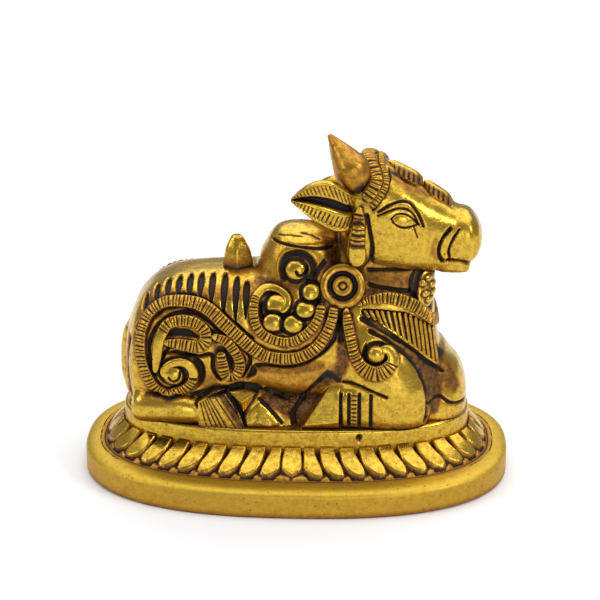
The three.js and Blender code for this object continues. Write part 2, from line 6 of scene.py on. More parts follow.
import bpy
import numpy as np
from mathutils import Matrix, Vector


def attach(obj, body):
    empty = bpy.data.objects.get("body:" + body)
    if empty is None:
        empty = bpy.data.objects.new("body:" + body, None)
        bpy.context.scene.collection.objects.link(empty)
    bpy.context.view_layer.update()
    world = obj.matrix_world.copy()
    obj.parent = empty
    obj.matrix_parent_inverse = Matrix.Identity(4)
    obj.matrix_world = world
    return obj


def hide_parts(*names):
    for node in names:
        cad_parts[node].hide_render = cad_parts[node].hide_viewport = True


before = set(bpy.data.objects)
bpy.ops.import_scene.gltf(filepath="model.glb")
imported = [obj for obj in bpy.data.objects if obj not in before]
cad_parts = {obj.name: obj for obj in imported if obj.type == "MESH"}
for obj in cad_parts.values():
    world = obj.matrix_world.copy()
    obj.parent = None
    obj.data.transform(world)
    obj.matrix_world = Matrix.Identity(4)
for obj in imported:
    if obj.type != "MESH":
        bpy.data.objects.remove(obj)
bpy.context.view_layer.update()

MM = 0.001

# Sizes of the base

PLINTH_HALF = (41.4, 18.4)
PETAL_HALF = (46.1, 26.0)
SLAB_HALF = (50.9, 31.8)
SLAB_HEIGHT = 6.8
SLAB_EDGE_RADIUS = 1.6
SLAB_EDGE_WIDE = 3.2
FOOT_BEVEL = 0.5
PETAL_STEP = 0.6
PETAL_BAND_TOP = 10.4
PLINTH_TOP = 16.0
PLINTH_EDGE_RADIUS = 0.7
OVAL_POWER = 2.45
PETAL_PITCH = 4.6
PETAL_RELIEF = 1.1
# A casting pit in the plinth's near side: x, height, radius and depth
PLINTH_PIT = (15.5, 14.2, 0.75, 0.8)

# How finely the carved skins are cut into triangles

GRID_STEP = 0.8
# Where each skin's grid starts and ends. From the body's start no two sheets of skin share an edge.
BODY_BOX = ((-44.5, -20, -2.05), (43, 20, 50))
HEAD_BOX = ((9, -12, 32), (46, 12, 65))
FINIAL_BOX = ((-19, -5, 31), (-9, 5, 43))
# The longest edges: on plain skin, on carved skin, and on carved skin at positive y
PLAIN_EDGE = 0.95
CARVED_EDGE = 0.26
PLAIN_SIDE_EDGE = 0.45
# A change of height along an edge, or a turn of the skin, that calls for a finer one
CHANGE_KEPT = 0.11
TURN_KEPT = 0.16

# Small numeric helpers


def rise(value):
    """0 below 0, 1 above 1, and smooth between."""
    inside = np.clip(value, 0, 1)
    return inside * inside * (3 - 2 * inside)


def unit(vectors):
    return vectors / np.maximum(np.linalg.norm(vectors, axis=-1, keepdims=True), 1e-9)


def union(fields, fillet):
    """Joins fields, with a soft fillet of that size where they meet."""
    whole = fields[0]
    for field in fields[1:]:
        near = np.maximum(fillet - np.abs(whole - field), 0)
        whole = np.minimum(whole, field) - near * near / (4 * fillet)
    return whole


def smooth_values(rows, column, at):
    """A monotone cubic through one column of the stations."""
    place, value = rows[:, 0], rows[:, column]
    span = np.diff(place)
    slope = np.diff(value) / span
    tangent = np.zeros(len(value))
    tangent[0], tangent[-1] = slope[0], slope[-1]
    for i in range(1, len(value) - 1):
        if slope[i - 1] * slope[i] > 0:
            before = 2 * span[i] + span[i - 1]
            after = span[i] + 2 * span[i - 1]
            tangent[i] = (before + after) / (before / slope[i - 1] + after / slope[i])
    i = np.clip(np.searchsorted(place, at, side="right") - 1, 0, len(span) - 1)
    t = (at - place[i]) / span[i]
    rest = 1 - t
    return ((1 + 2 * t) * rest * rest * value[i] + t * rest * rest * span[i] * tangent[i]
            + t * t * (3 - 2 * t) * value[i + 1] - t * t * rest * span[i] * tangent[i + 1])


def smooth_line(points, spacing):
    """A line through points of any dimension, rounded between them, in even steps."""
    points = np.array(points, float)
    ends = [2 * points[0] - points[1], 2 * points[-1] - points[-2]]
    before, start, end, after = [
        np.vstack([ends[0], points, ends[1]])[i:len(points) - 1 + i] for i in range(4)]
    square = 2 * before - 5 * start + 4 * end - after
    cube = 3 * start - before - 3 * end + after
    pieces = []
    for t in np.linspace(0, 1, 16, endpoint=False):
        pieces.append(0.5 * (2 * start + (end - before) * t + square * t ** 2 + cube * t ** 3))
    fine = np.vstack([np.stack(pieces, 1).reshape(-1, points.shape[1]), points[-1:]])
    walked = np.concatenate([[0], np.cumsum(np.linalg.norm(np.diff(fine, axis=0), axis=1))])
    count = max(int(round(walked[-1] / spacing)), 2)
    even = np.linspace(0, walked[-1], count + 1)
    return np.stack([np.interp(even, walked, fine[:, i]) for i in range(points.shape[1])], 1)


# Solid fields: negative inside, roughly the distance to the skin


class Form:
    """A squared ellipse swept along x or z, from stations of its place and its low and high sides.

    Axis x has y and z across it, and axis z has x and y.
    """

    END_ROUND = 1.2

    def __init__(self, axis, power, rows):
        rows = np.array(rows, float)
        self.axis, self.power = axis, power
        self.start, self.end = rows[0, 0], rows[-1, 0]
        self.places = np.linspace(self.start, self.end, 400)
        low_a, high_a, low_b, high_b = [smooth_values(rows, i, self.places) for i in range(1, 5)]
        self.columns = [(low_a + high_a) / 2, (high_a - low_a) / 2,
                        (low_b + high_b) / 2, (high_b - low_b) / 2]

    def __call__(self, x, y, z):
        along, a, b = (x, y, z) if self.axis == "x" else (z, x, y)
        here = [np.interp(along, self.places, column) for column in self.columns]
        middle_a, half_a, middle_b, half_b = here
        off_a = np.abs(a - middle_a) / half_a
        off_b = np.abs(b - middle_b) / half_b
        reach = (off_a ** self.power + off_b ** self.power) ** (1 / self.power)
        side = (reach - 1) * np.minimum(half_a, half_b)
        end = np.maximum(self.start - along, along - self.end)
        return -union([-side, -end], self.END_ROUND)


def even_form(axis, power, rows):
    """A form as wide on both sides of y = 0, from rows with one half width for the two sides."""
    if axis == "x":
        return Form(axis, power, [[x, -wide, wide, low, high] for x, wide, low, high in rows])
    return Form(axis, power, [[z, back, front, -wide, wide] for z, back, front, wide in rows])


class Facets:
    """A hoof cut in flat faces, each through three points, around a middle point."""

    # What closes each of them, inside the plinth and inside the body
    CLOSING = [[(0, 0, -0.6), (1, 0, -0.6), (0, 1, -0.6)], [(0, -9, 0), (1, -9, 0), (0, -9, 1)]]

    def __init__(self, middle, faces):
        self.planes = []
        for face in faces + self.CLOSING:
            a, b, c = [np.array(point, float) for point in face]
            normal = unit(np.cross(b - a, c - a))
            if normal @ (np.array(middle) - a) > 0:
                normal = -normal
            self.planes.append((normal, normal @ a))

    def __call__(self, x, y, z):
        reach = [n[0] * x + n[1] * y + n[2] * z - far for n, far in self.planes]
        return np.maximum.reduce(reach)


TORSO = even_form("x", 2.7, [
    [-40.3, 5, 5, 16], [-39.8, 8.5, 3, 19.5], [-38.8, 11.5, 1, 23], [-37, 14, -0.2, 26.8],
    [-33, 15.5, -0.8, 30.8], [-28, 16, -1, 33], [-20, 15.8, -1, 34.2], [-12, 15.6, 0.8, 34.6],
    [-5, 15.5, 2.6, 34.6], [2, 15.9, 2.6, 34.2], [8, 16, 1.4, 33], [14, 16.2, 0, 30],
    [22, 16, -1, 24], [28, 14.6, -1, 19], [33, 11.5, -1, 14],
])
# The round of the barrel between the garland and the hooves
BARREL = even_form("x", 3.4, [
    [-18, 13, 10, 20], [-13, 15, 9.2, 21], [-6, 15.9, 7.6, 21], [1, 16, 6, 21], [7, 15.4, 6.4, 21],
    [12, 14, 9, 19],
])
# The mass under the belly, set back between the hooves, where shade is painted
BELLY = even_form("x", 5, [
    [-22, 14.2, -0.6, 8], [0, 14, -0.6, 7.6], [24, 14.2, -0.6, 7],
])
NECK = even_form("z", 2.6, [
    [1, 4, 33, 12], [8, 2, 34.4, 14], [14, 1, 34.2, 14.6], [20, 2, 33.4, 13.6], [25, 4, 32.7, 12.2],
    [30, 7, 32.5, 10.4], [33.5, 8.4, 32.6, 9], [36, 9, 32.5, 8], [42, 10, 30, 7.4], [48, 11, 28, 7],
])
BRISKET = even_form("z", 2.4, [
    [-0.6, 24, 40.9, 11.5], [4, 24, 40.8, 10.8], [8, 25, 40.2, 9.6], [11, 26, 39, 8.6],
    [13.5, 27, 36.9, 7.8], [16.5, 28, 34.8, 7],
])
HUMP = even_form("z", 2.3, [
    [28, -11, 15, 12], [34, -9.2, 13, 10.6], [38, -8.3, 11.5, 9.6], [41, -6.8, 10, 8.6],
    [42.6, -5.9, 9.4, 7.8], [43.8, -4.9, 7.5, 5.8], [44.8, -3.2, 4.5, 3.4], [45.2, -1.8, 2, 1.4],
])
SKULL = even_form("x", 2.5, [
    [11, 3, 42, 56], [12, 6.5, 38.5, 59.5], [14, 8.5, 36.2, 61.6], [17, 9.6, 34.7, 62],
    [21, 10, 34.1, 60.4], [25, 10, 34, 58], [29, 9.2, 34.2, 55.2], [33, 8.1, 34.6, 52.6],
    [36, 7.2, 35, 50.7], [37.6, 6.9, 35.2, 49.9], [40, 7, 36, 49.2], [42, 5.9, 38, 47.2],
    [43.3, 4, 40.6, 44.8],
])
LOWER_LIP = even_form("x", 2.5, [
    [33, 5.6, 34.4, 39], [37, 5.6, 34.2, 38.6], [39.6, 5.2, 34.4, 38], [40.8, 4.4, 34.8, 37.4],
])
# The rounded end of the cheek strap
STRAP_PAD = Form("z", 2.3, [
    [37.4, 13.2, 15.4, -8.6, -4], [38.2, 12.4, 16.4, -9.8, -4], [40.5, 11.9, 16.9, -10.4, -4],
    [43, 12.1, 16.8, -10.4, -4], [46, 12.8, 16.6, -10.2, -4], [49, 13.4, 16.2, -9.8, -4],
])
SHOULDER = Form("z", 2.4, [
    [-0.6, 14.5, 31, -16.8, -4], [3, 12.6, 32.2, -17.7, -4], [8, 12, 31.9, -17.9, -4],
    [13, 12, 30, -17.4, -4], [18, 12.4, 27, -16.6, -4], [22, 13.5, 24, -15.4, -5],
    [25.5, 15.8, 20.4, -13.6, -6],
])
SHIN = Form("x", 3, [
    [9.5, -17.2, -8, -0.6, 10], [14, -17.6, -8, -0.6, 10.4], [20, -17.9, -8, -0.6, 9.6],
    [27, -17, -8, -0.6, 7.6], [31, -15, -8, -0.6, 6],
])
HIND_LEG = Form("x", 2.2, [
    [-38.4, -14, -8, 1, 5], [-37.4, -16.2, -6, 0, 7.6], [-35, -17.3, -5, -0.6, 8.7],
    [-30, -17.9, -5, -0.6, 8.9], [-25, -17.8, -5, -0.6, 8], [-21.8, -17.4, -6, -0.6, 6.6],
])
TAIL = even_form("z", 2.2, [
    [1, -40.7, -37, 1.8], [3.5, -41.3, -37, 2.3], [8, -42.1, -37, 2.6], [13, -42, -37, 2.6],
    [17, -41.4, -37, 2.4], [20.5, -39.8, -36, 2.2], [24, -38.2, -34, 1.8], [27, -37, -33, 1.4],
])

FORE_HOOF = Facets((8, -12, 4), [
    [(8, -16.2, 9.6), (2.6, -17.6, 1.1), (1, -15, -0.4)],
    [(8, -16.2, 9.6), (6.2, -14.8, 11.2), (10.9, -15.4, 11.6)],
    [(8, -16.2, 9.6), (2.6, -17.6, 1.1), (10.8, -18, 2.2)],
    [(2.6, -17.6, 1.1), (10.8, -18, 2.2), (6, -16.6, -0.6)],
    [(11, 0, 0), (11, 1, 0), (11, 0, 1)],
])
HIND_HOOF = Facets((-17, -12, 3), [
    [(-17.8, -17.9, 9), (-11.4, -17.8, -0.4), (-21.9, -17, 4)],
    [(-17.8, -17.9, 9), (-11.4, -17.8, -0.4), (-15, -15.4, 9.4)],
    [(-22.2, -15, 6.4), (-18.6, -15, 9.1), (-20, -9, 8.2)],
    [(-18.8, -15, 9.2), (-14.8, -15, 9.5), (-15, -9, 9.3)],
    [(-15, -15, 9.4), (-11, -15, -1), (-13, -9, 4)],
    [(-22.2, 0, 0), (-22.2, 1, 0), (-22.2, 0, 1)],
])
HEEL = Facets((-12, -12, 7), [
    [(-15.3, -15.4, 8.7), (-8.2, -15.4, 8.6), (-12, -17.2, 6.6)],
    [(-15.3, -15.4, 8.7), (-11.5, -15.4, 2.4), (-12, -17.2, 6.6)],
    [(-8.2, -15.4, 8.6), (-11.5, -15.4, 2.4), (-12, -17.2, 6.6)],
])
TOE = Facets((-7.3, -12, 2), [
    [(-11.8, -15.2, 2.2), (-7.9, -14.4, 5.9), (-8.4, -17.7, 0.6)],
    [(-7.9, -14.4, 5.9), (-2.4, -15.4, 0.4), (-8.4, -17.7, 0.6)],
    [(-11.8, -15.2, 2.6), (-11.2, -16.8, -0.4), (-10.8, -17, 1)],
    [(-10.8, -17, 1), (-3, -16.9, 1), (-7, -16.6, -0.6)],
])


# Fillets where the forms meet
BARREL_FILLET = 0.4
TRUNK_FILLET = 1.6
CHEST_FILLET = 0.9
LEG_FILLET = 0.35
HEAD_FILLET = 0.5
PLINTH_FILLET = 0.3
# How far below the plinth's top the floor lies when the closing in is worked out for the painted
# occlusion shade
FLOOR_DROP = 0.7


def body_field(x, y, z):
    side = -np.abs(y)
    barrel = union([TORSO(x, y, z), BARREL(x, y, z), BELLY(x, y, z)], BARREL_FILLET)
    trunk = union([barrel, NECK(x, y, z), HUMP(x, y, z)], TRUNK_FILLET)
    chest = union([trunk, SHOULDER(x, side, z), BRISKET(x, y, z)], CHEST_FILLET)
    legs = [leg(x, side, z) for leg in (SHIN, HIND_LEG, FORE_HOOF, HIND_HOOF, HEEL, TOE)]
    return union([chest, TAIL(x, y, z), *legs], LEG_FILLET)


def head_field(x, y, z):
    return union([SKULL(x, y, z), LOWER_LIP(x, y, z), STRAP_PAD(x, -np.abs(y), z)], HEAD_FILLET)


def figure_field(x, y, z):
    """The figure over its plinth, for how far its parts close in on each other, which sets the painted
    occlusion shade.
    """
    return union([body_field(x, y, z), head_field(x, y, z), z + FLOOR_DROP], PLINTH_FILLET)


def slope_of(field, points):
    step = 0.02
    x, y, z = points.T
    here = field(x, y, z)
    ahead = [field(x + step, y, z), field(x, y + step, z), field(x, y, z + step)]
    return here, (np.stack(ahead, -1) - here[:, None]) / step


def pulled(field, points, rounds=3):
    """Moves points onto the skin of a field, and gives them with the skin's outward directions."""
    for _ in range(rounds):
        here, slope = slope_of(field, points)
        far = np.clip(here / np.maximum((slope ** 2).sum(-1), 0.05), -0.8, 0.8)
        points = points - slope * far[:, None]
    return points, unit(slope_of(field, points)[1])


def seen_from_side(field, places):
    """Points of the skin seen at places (x, z) of the side view, from negative y."""
    x, z = np.array(places, float).T
    y = np.full(x.shape, -20.0)
    for _ in range(60):
        y = y + np.clip(field(x, y, z), 0, 1)
    return pulled(field, np.stack([x, y, z], 1))[0]


# Skins: one point in each crossed cell of a grid, then finer where the carving asks for it


def skin_mesh(field, low, high, step):
    axes = [np.arange(a, b + step, step) for a, b in zip(low, high)]
    value = field(*np.meshgrid(*axes, indexing="ij", sparse=True))
    total = np.zeros(value.shape + (3,))
    count = np.zeros(value.shape)
    crossings = []
    for axis in range(3):
        first = np.moveaxis(value, axis, 0)[:-1]
        second = np.moveaxis(value, axis, 0)[1:]
        crossed = np.moveaxis((first < 0) != (second < 0), 0, axis)
        start = np.argwhere(crossed)
        v0 = value[tuple(start.T)]
        end = start + np.eye(3, dtype=int)[axis]
        v1 = value[tuple(end.T)]
        place = start + np.eye(3)[axis] * (v0 / (v0 - v1))[:, None]
        u, v = (axis + 1) % 3, (axis + 2) % 3
        cells = []
        for du, dv in [(0, 0), (1, 0), (1, 1), (0, 1)]:
            cell = start.copy()
            cell[:, u] -= du
            cell[:, v] -= dv
            np.add.at(total, tuple(cell.T), place)
            np.add.at(count, tuple(cell.T), 1)
            cells.append(cell)
        crossings.append((cells, v0 < 0))
    used = np.argwhere(count > 0)
    number = np.full(value.shape, -1)
    number[tuple(used.T)] = np.arange(len(used))
    points = total[tuple(used.T)] / count[tuple(used.T)][:, None] * step + np.array(low, float)
    faces = []
    for cells, outward in crossings:
        a, b, c, d = [number[tuple(cell.T)] for cell in cells]
        quads = np.where(outward[:, None], np.stack([a, b, c, d], 1), np.stack([a, d, c, b], 1))
        faces += [quads[:, [0, 1, 2]], quads[:, [0, 2, 3]]]
    return points, np.vstack(faces)


def edges_of(faces):
    """Each edge once, and which edges each triangle has."""
    pairs = np.sort(np.stack([faces, np.roll(faces, -1, axis=1)], -1).reshape(-1, 2), axis=1)
    key = pairs[:, 0].astype(np.int64) * (faces.max() + 1) + pairs[:, 1]
    _, first, which = np.unique(key, return_index=True, return_inverse=True)
    return pairs[first], which.reshape(-1, 3)


def evened(field, points, faces, rounds=3):
    """Slides points along the skin towards the middle of their neighbours."""
    pairs, _ = edges_of(faces)
    near, far = np.concatenate([pairs, pairs[:, ::-1]]).T
    degree = np.bincount(near, minlength=len(points))[:, None]
    share = 0.6
    for _ in range(rounds):
        total = np.stack([np.bincount(near, points[far, i], len(points)) for i in range(3)], 1)
        points = pulled(field, points + share * (total / degree - points), 1)[0]
    return points


def split(faces, which, marked, first_new):
    """Cuts each triangle at the middles of its marked edges."""
    middle = np.full(len(marked), -1)
    middle[marked] = first_new + np.arange(marked.sum())
    found = []
    pattern = marked[which]
    number = pattern.sum(1)
    found.append(faces[number == 0])
    for turn in range(3):
        corner = np.roll(faces, -turn, axis=1)
        edge = np.roll(which, -turn, axis=1)
        cut = np.roll(pattern, -turn, axis=1)
        one = (number == 1) & cut[:, 0]
        a, b, c = corner[one].T
        m = middle[edge[one, 0]]
        found += [np.stack([a, m, c], 1), np.stack([m, b, c], 1)]
        two = (number == 2) & cut[:, 0] & cut[:, 1]
        a, b, c = corner[two].T
        m, n = middle[edge[two, 0]], middle[edge[two, 1]]
        found += [np.stack([m, b, n], 1), np.stack([a, m, n], 1), np.stack([a, n, c], 1)]
    whole = number == 3
    a, b, c = faces[whole].T
    m, n, o = middle[which[whole]].T
    found += [np.stack(t, 1) for t in [(a, m, o), (m, b, n), (o, n, c), (m, n, o)]]
    return np.vstack(found)


def carved_skin(field, box, relief, passes=5):
    """A closed skin of the field with its relief: points, triangles, and dirt with painted shade."""
    points, faces = skin_mesh(field, *box, GRID_STEP)
    points, normals = pulled(field, evened(field, points, faces))
    height, dirt_and_shade = relief(points, normals)
    for _ in range(passes):
        pairs, which = edges_of(faces)
        length = np.linalg.norm(points[pairs[:, 0]] - points[pairs[:, 1]], axis=1)
        wide = length > np.where(points[pairs].mean(1)[:, 1] > 0, PLAIN_SIDE_EDGE, CARVED_EDGE)
        middle = points[pairs[wide]].mean(1)
        middle_height, middle_dirt = relief(middle, unit(normals[pairs[wide]].sum(1)))
        ends = height[pairs[wide]]
        change = np.maximum(np.abs(ends[:, 0] - ends[:, 1]),
                            2 * np.abs(middle_height - ends.mean(1)))
        marked = length > PLAIN_EDGE
        turning = 1 - (normals[pairs[wide, 0]] * normals[pairs[wide, 1]]).sum(1)
        marked[np.flatnonzero(wide)[(change > CHANGE_KEPT) | (turning > TURN_KEPT)]] = True
        if not marked.any():
            break
        new, new_normals = pulled(field, points[pairs[marked]].mean(1), 2)
        new_height, new_dirt_and_shade = relief(new, new_normals)
        faces = split(faces, which, marked, len(points))
        points, normals = np.vstack([points, new]), np.vstack([normals, new_normals])
        height, dirt_and_shade = np.concatenate([height, new_height]), np.concatenate([dirt_and_shade, new_dirt_and_shade])
    # The carving's dirt, darkened more by painted shade where the figure closes in
    shade = np.maximum(dirt_and_shade, occlusion_shade_and_patina(points, normals))
    return points + normals * height[:, None], faces, shade


# For the painted occlusion shade: how far out the closing in is felt, and how much each distance
# counts
OCCLUSION_REACHES = [(0.5, 0.38), (1.2, 0.32), (2.6, 0.22), (5, 0.08)]


def occlusion_shade_and_patina(points, normals):
    """How far the figure closes in on places of its skin, from 0 in the open to 1: painted occlusion
    shade, which also stands for the patina of the tightest creases.
    """
    closed = np.zeros(len(points))
    for reach, weight in OCCLUSION_REACHES:
        clear, slope = slope_of(figure_field, points + normals * reach)
        steepness = np.clip(np.linalg.norm(slope, axis=1), 0.2, 1)
        closed += weight * np.clip(1 - clear / (steepness * reach), 0, 1)
    return np.clip(1.8 * closed - 0.12, 0, 1)


# Carving in the side view


class Line:
    """A line through points of the side view."""

    def __init__(self, points, spacing=0.6):
        self.points = smooth_line(points, spacing)
        self.steps = np.diff(self.points, axis=0)
        self.lengths = np.linalg.norm(self.steps, axis=1)
        self.walked = np.concatenate([[0], np.cumsum(self.lengths)])

    def near(self, x, z, reach):
        """How far off the line places are (infinity beyond the reach), and the share walked there."""
        off, share = np.full(len(x), np.inf), np.zeros(len(x))
        low, high = self.points.min(0) - reach, self.points.max(0) + reach
        inside = np.flatnonzero((x > low[0]) & (x < high[0]) & (z > low[1]) & (z < high[1]))
        for part in np.array_split(inside, len(inside) // 4000 + 1):
            gap = np.stack([x[part], z[part]], 1)[:, None] - self.points[:-1]
            t = np.clip((gap * self.steps).sum(-1) / self.lengths ** 2, 0, 1)
            far = np.linalg.norm(gap - t[..., None] * self.steps, axis=-1)
            best = far.argmin(1)
            rows = np.arange(len(part))
            off[part] = far[rows, best]
            share[part] = (self.walked[best] + t[rows, best] * self.lengths[best]) / self.walked[-1]
        return off, share


def lines_of(table, spacing=0.6):
    """The lines of a table, each with what follows its points."""
    return [(Line(points, spacing), *rest) for points, *rest in table]


# How uneven the chisel's cuts are in width
HAND = 0.14
# How much squarer than a circle the bosses are
BOSS_POWER = 2.2


class Relief:
    """Heights, and dirt with painted shade, at places of the side view, gathered one carving after
    another.
    """

    def __init__(self, x, z):
        self.x, self.z = x, z
        self.height = np.zeros(len(x))
        self.dirt_and_shade = np.zeros(len(x))

    def cut(self, inside, depth):
        """inside goes from 0 outside the cut to 1 at its floor."""
        self.height = self.height - depth * inside
        self.dirt_and_shade = np.maximum(self.dirt_and_shade, inside)

    def groove(self, line, width, depth, tapered=False):
        off, share = line.near(self.x, self.z, 1.2 * width)
        walked = share * line.walked[-1]
        half = width / 2 * (1 + HAND * np.sin(1.1 * walked + 7 * width) * np.sin(0.45 * walked + 1))
        if tapered:
            half = half * np.sqrt(np.clip(np.sin(np.pi * share), 0.02, 1))
        self.cut(rise((half - off) / (0.45 * width) + 0.2), depth)

    def grooves(self, lines, tapered=False):
        for line, width, depth in lines:
            self.groove(line, width, depth, tapered)

    def stains_and_shade(self, lines):
        """Old polish and painted shade laid along lines, widest where the widths say."""
        for line, widths, dirt_and_shade in lines:
            off, share = line.near(self.x, self.z, max(widths))
            half = np.interp(share, np.linspace(0, 1, len(widths)), widths) / 2
            self.dirt_and_shade = np.maximum(self.dirt_and_shade, dirt_and_shade * rise((half - off) / (0.6 * half) + 0.3))

    def boss(self, x, z, wide, tall, height, outlined=True):
        """A low cushion, with a dark groove round it if it is outlined."""
        off = (np.abs((self.x - x) / wide) ** BOSS_POWER
               + np.abs((self.z - z) / tall) ** BOSS_POWER) ** (1 / BOSS_POWER)
        if outlined:
            self.cut(rise(1.2 - np.abs(off - 1.15) / 0.32), 0.5)
        self.height = np.where(off < 1, height * np.sqrt(np.clip(1 - off ** 2, 0, 1)), self.height)
        self.dirt_and_shade = np.where(off < 0.93, 0, self.dirt_and_shade)

    def beads(self, places, radius, height):
        for x, z in places:
            off = np.hypot(self.x - x, self.z - z) / radius
            self.height = self.height + height * np.sqrt(np.clip(1 - off ** 2, 0, 1))
            ring = 0.8 * rise(1 - np.abs(off - 1.1) / 0.35)
            self.dirt_and_shade = np.maximum(self.dirt_and_shade * (off > 0.8), ring)


# Ticked bands on the flank

GARLAND = [
    [-29.9, 12.4], [-29.9, 14.2], [-28.3, 15.7], [-26.1, 16.2], [-24.2, 15.4], [-23.2, 13.5],
    [-23.6, 11.1], [-25.6, 9.1], [-28.8, 8.1], [-31.9, 9], [-34, 12.1], [-35.2, 16.1],
    [-35.4, 20.1], [-34.7, 24], [-32.9, 27.1], [-30, 29.1], [-26.3, 29.7], [-22.2, 29.4], [-19, 28],
    [-16, 25.5], [-12.9, 22.8], [-9.7, 20], [-6.5, 18], [-2.2, 17.4], [1.9, 18.1], [5.4, 20.4],
    [7.6, 23.6], [8.8, 26.4], [9.2, 28.9],
]
GARLAND_WIDTH = [1.8, 2.4, 2.7, 2.7, 2.8, 3, 3.3, 3.3, 3.2, 2.9, 2.3]
SADDLE = [
    [6.3, 29.6], [6, 27.5], [4.8, 25.4], [3, 23.5], [0.4, 21.9], [-2.1, 21.5], [-4.7, 22],
    [-7, 23.2], [-8.5, 25.1], [-9.1, 27.4], [-9.1, 29.6], [-8.4, 31.2], [-6.9, 32.3], [-5, 32.6],
    [-3, 32.2], [-1.5, 31], [-1.5, 29.4], [-2.8, 28.2],
]
SADDLE_WIDTH = [2.4, 2.5, 2.5, 2.4, 2, 1.6]
LEAF = [
    [-32, 13.4], [-31.5, 17.9], [-30.8, 21.7], [-29, 24.9], [-25.9, 25.9], [-22.8, 25.5],
    [-20.5, 23.7], [-20.3, 21.4], [-22, 20], [-24.8, 20.3], [-27.4, 20.7], [-29.7, 20.9],
]
LEAF_WIDTH = [1.4, 2.4, 2.6, 2.7, 2.7, 2.7, 3, 3.4, 3, 1.4]
LOOP = [
    [-18.7, 22.7], [-15.5, 21.3], [-13.1, 18.2], [-12.3, 15.2], [-13.6, 12.6], [-15.6, 12.8],
    [-16.4, 15.8], [-16.8, 18.8],
]
LOOP_WIDTH = [1.6, 2.5, 2.6, 2.6, 2.6, 2.8, 2.8, 2]
STRAP = [
    [11.8, 28.2], [12.6, 25], [13.4, 21.7], [14.4, 18.3], [16.2, 15.6], [19.3, 14.5], [22, 15.9],
    [23, 17.9], [22, 19.9], [20, 20.1],
]
STRAP_WIDTH = [1.4, 2.6, 2.6, 2.6, 3.2, 4, 4.1, 3.4, 2.6, 2]

# The sunk ground along each band: its line, width and depth
MOAT_MARGIN = 1.3
MOAT_DEPTH = 0.4
MOATS = [(path, width + MOAT_MARGIN, MOAT_DEPTH) for path, width in [
    (GARLAND, 2.9), (SADDLE, 2.3), (LEAF, 2.4), (LOOP, 2.4), (STRAP, 2.9)]]

# Body carving: lines of the side view with width and depth

FLANK_GROOVES = [
    ([[-32.8, 12.5], [-33.4, 15.9], [-33.5, 19.2], [-33, 21.9], [-31.7, 24.3], [-29.5, 26.4],
      [-26.2, 27.7], [-22.8, 27.6], [-19.9, 26.2], [-17.6, 24.4], [-14.7, 22.3], [-11.8, 19.7],
      [-10, 17.4], [-10.6, 14.6], [-11.9, 12.5]], 1.1, 0.9),
    ([[-31.3, 13.9], [-30.8, 16.2], [-29.5, 18.6], [-28.1, 20.1], [-26.2, 19.6], [-24.4, 18.1],
      [-22, 17.5], [-19.4, 18], [-18.6, 17.3], [-18.6, 14.6], [-17.7, 12.4], [-16.8, 11.5]], 1.1,
      1),
    ([[-31, 14.2], [-30.6, 12.2], [-29.6, 10.9], [-28.3, 10.6], [-27.2, 11.1], [-26.8, 12]], 0.8,
      0.8),
    ([[-23.7, 7.2], [-21.7, 8.1], [-18.8, 8.8], [-15.3, 9.3], [-12, 9.6]], 1, 0.6),
    ([[-8.6, 15.4], [-5.6, 15.7], [-1.7, 15.4], [2.6, 16.4], [6.4, 18.8], [9.4, 22.4], [11, 27]],
      1.1, 0.7),
    ([[-36.7, 22.6], [-34.6, 26.5], [-31.6, 29], [-28, 30.7], [-24.4, 31.1], [-20.4, 30.2],
      [-16.6, 28], [-12.6, 24.8], [-9.4, 22]], 0.9, 0.6),
    ([[11.6, 11.7], [14.4, 11.3], [18, 10.2], [21.7, 8.7]], 0.9, 0.7),
    ([[11, 28], [10.8, 25], [11, 22]], 1.6, 0.8),
    ([[17.6, 24], [21.8, 22], [26.2, 18.2], [29.2, 13.9], [31, 9.6], [31.4, 5], [31, 1.6]], 1.1,
      0.9),
    ([[-2.5, 35], [-3, 37.8], [-1.9, 39.9], [0.9, 40.7], [3.6, 39.4], [4.5, 37], [3.4, 34.6]], 1.9,
      1.1),
    ([[-8.2, 8.2], [-9.6, 5.6], [-11.6, 2.6]], 1, 0.7),
    ([[-7, 42.6], [-2, 42.4], [3, 41.9], [9, 41.2]], 0.8, 0.6),
    ([[-3.8, 43.6], [-1.4, 43.9], [1.4, 43.8]], 0.3, 0.13),
    ([[1.6, 44.3], [3.8, 43.9], [5.8, 43.2]], 0.3, 0.13),
    ([[17, 36.5], [22, 36.7], [27.8, 36.8], [31.3, 36]], 1.1, 0.6),
    ([[17.3, 33.4], [19.8, 32.9], [26.7, 31.9]], 1.1, 0.8),
    ([[16, 27.6], [20.3, 27.6], [26.1, 26.6], [30, 23.8], [33.2, 21.4]], 1, 0.6),
    ([[15.7, 26.2], [20.3, 24.2], [27.4, 19], [30.9, 15.3], [34.6, 11.6]], 1, 0.6),
    ([[7, 38.6], [5, 35.6], [4.8, 32], [6.4, 28.6], [9.4, 26.8], [13, 26.9]], 1.6, 0.8),
    ([[28, 36.4], [27.3, 34.7], [27.1, 32.6], [27.7, 30.5]], 1.5, 0.7),
    ([[31.6, 5.2], [34.3, 5.9], [36.8, 4.1], [40.6, 3]], 0.9, 0.6),
    ([[6.2, 12], [3.5, 8.5], [0.8, 4.5], [-0.2, 2.3], [0.3, -0.3]], 1.4, 0.7),
    ([[-38.6, 20], [-39.4, 14], [-39, 8], [-38.2, 4]], 1.1, 0.7),
    ([[-40, 10.6], [-39.9, 9.3]], 1.2, 1),
    ([[-39.6, 7], [-39.4, 5.8]], 1.2, 1),
    ([[-15.4, 8.8], [-13.2, 5], [-11.1, -0.2]], 0.9, 0.6),
    ([[-8, 6.3], [-5.4, 3.8], [-2.6, 0.7]], 0.9, 0.7),
    ([[-11.2, -0.1], [-7.2, -0.2], [-3.4, 0]], 0.7, 0.4),
    ([[1.6, -0.3], [6.2, -0.3], [10.7, -0.2]], 0.7, 0.4),
]
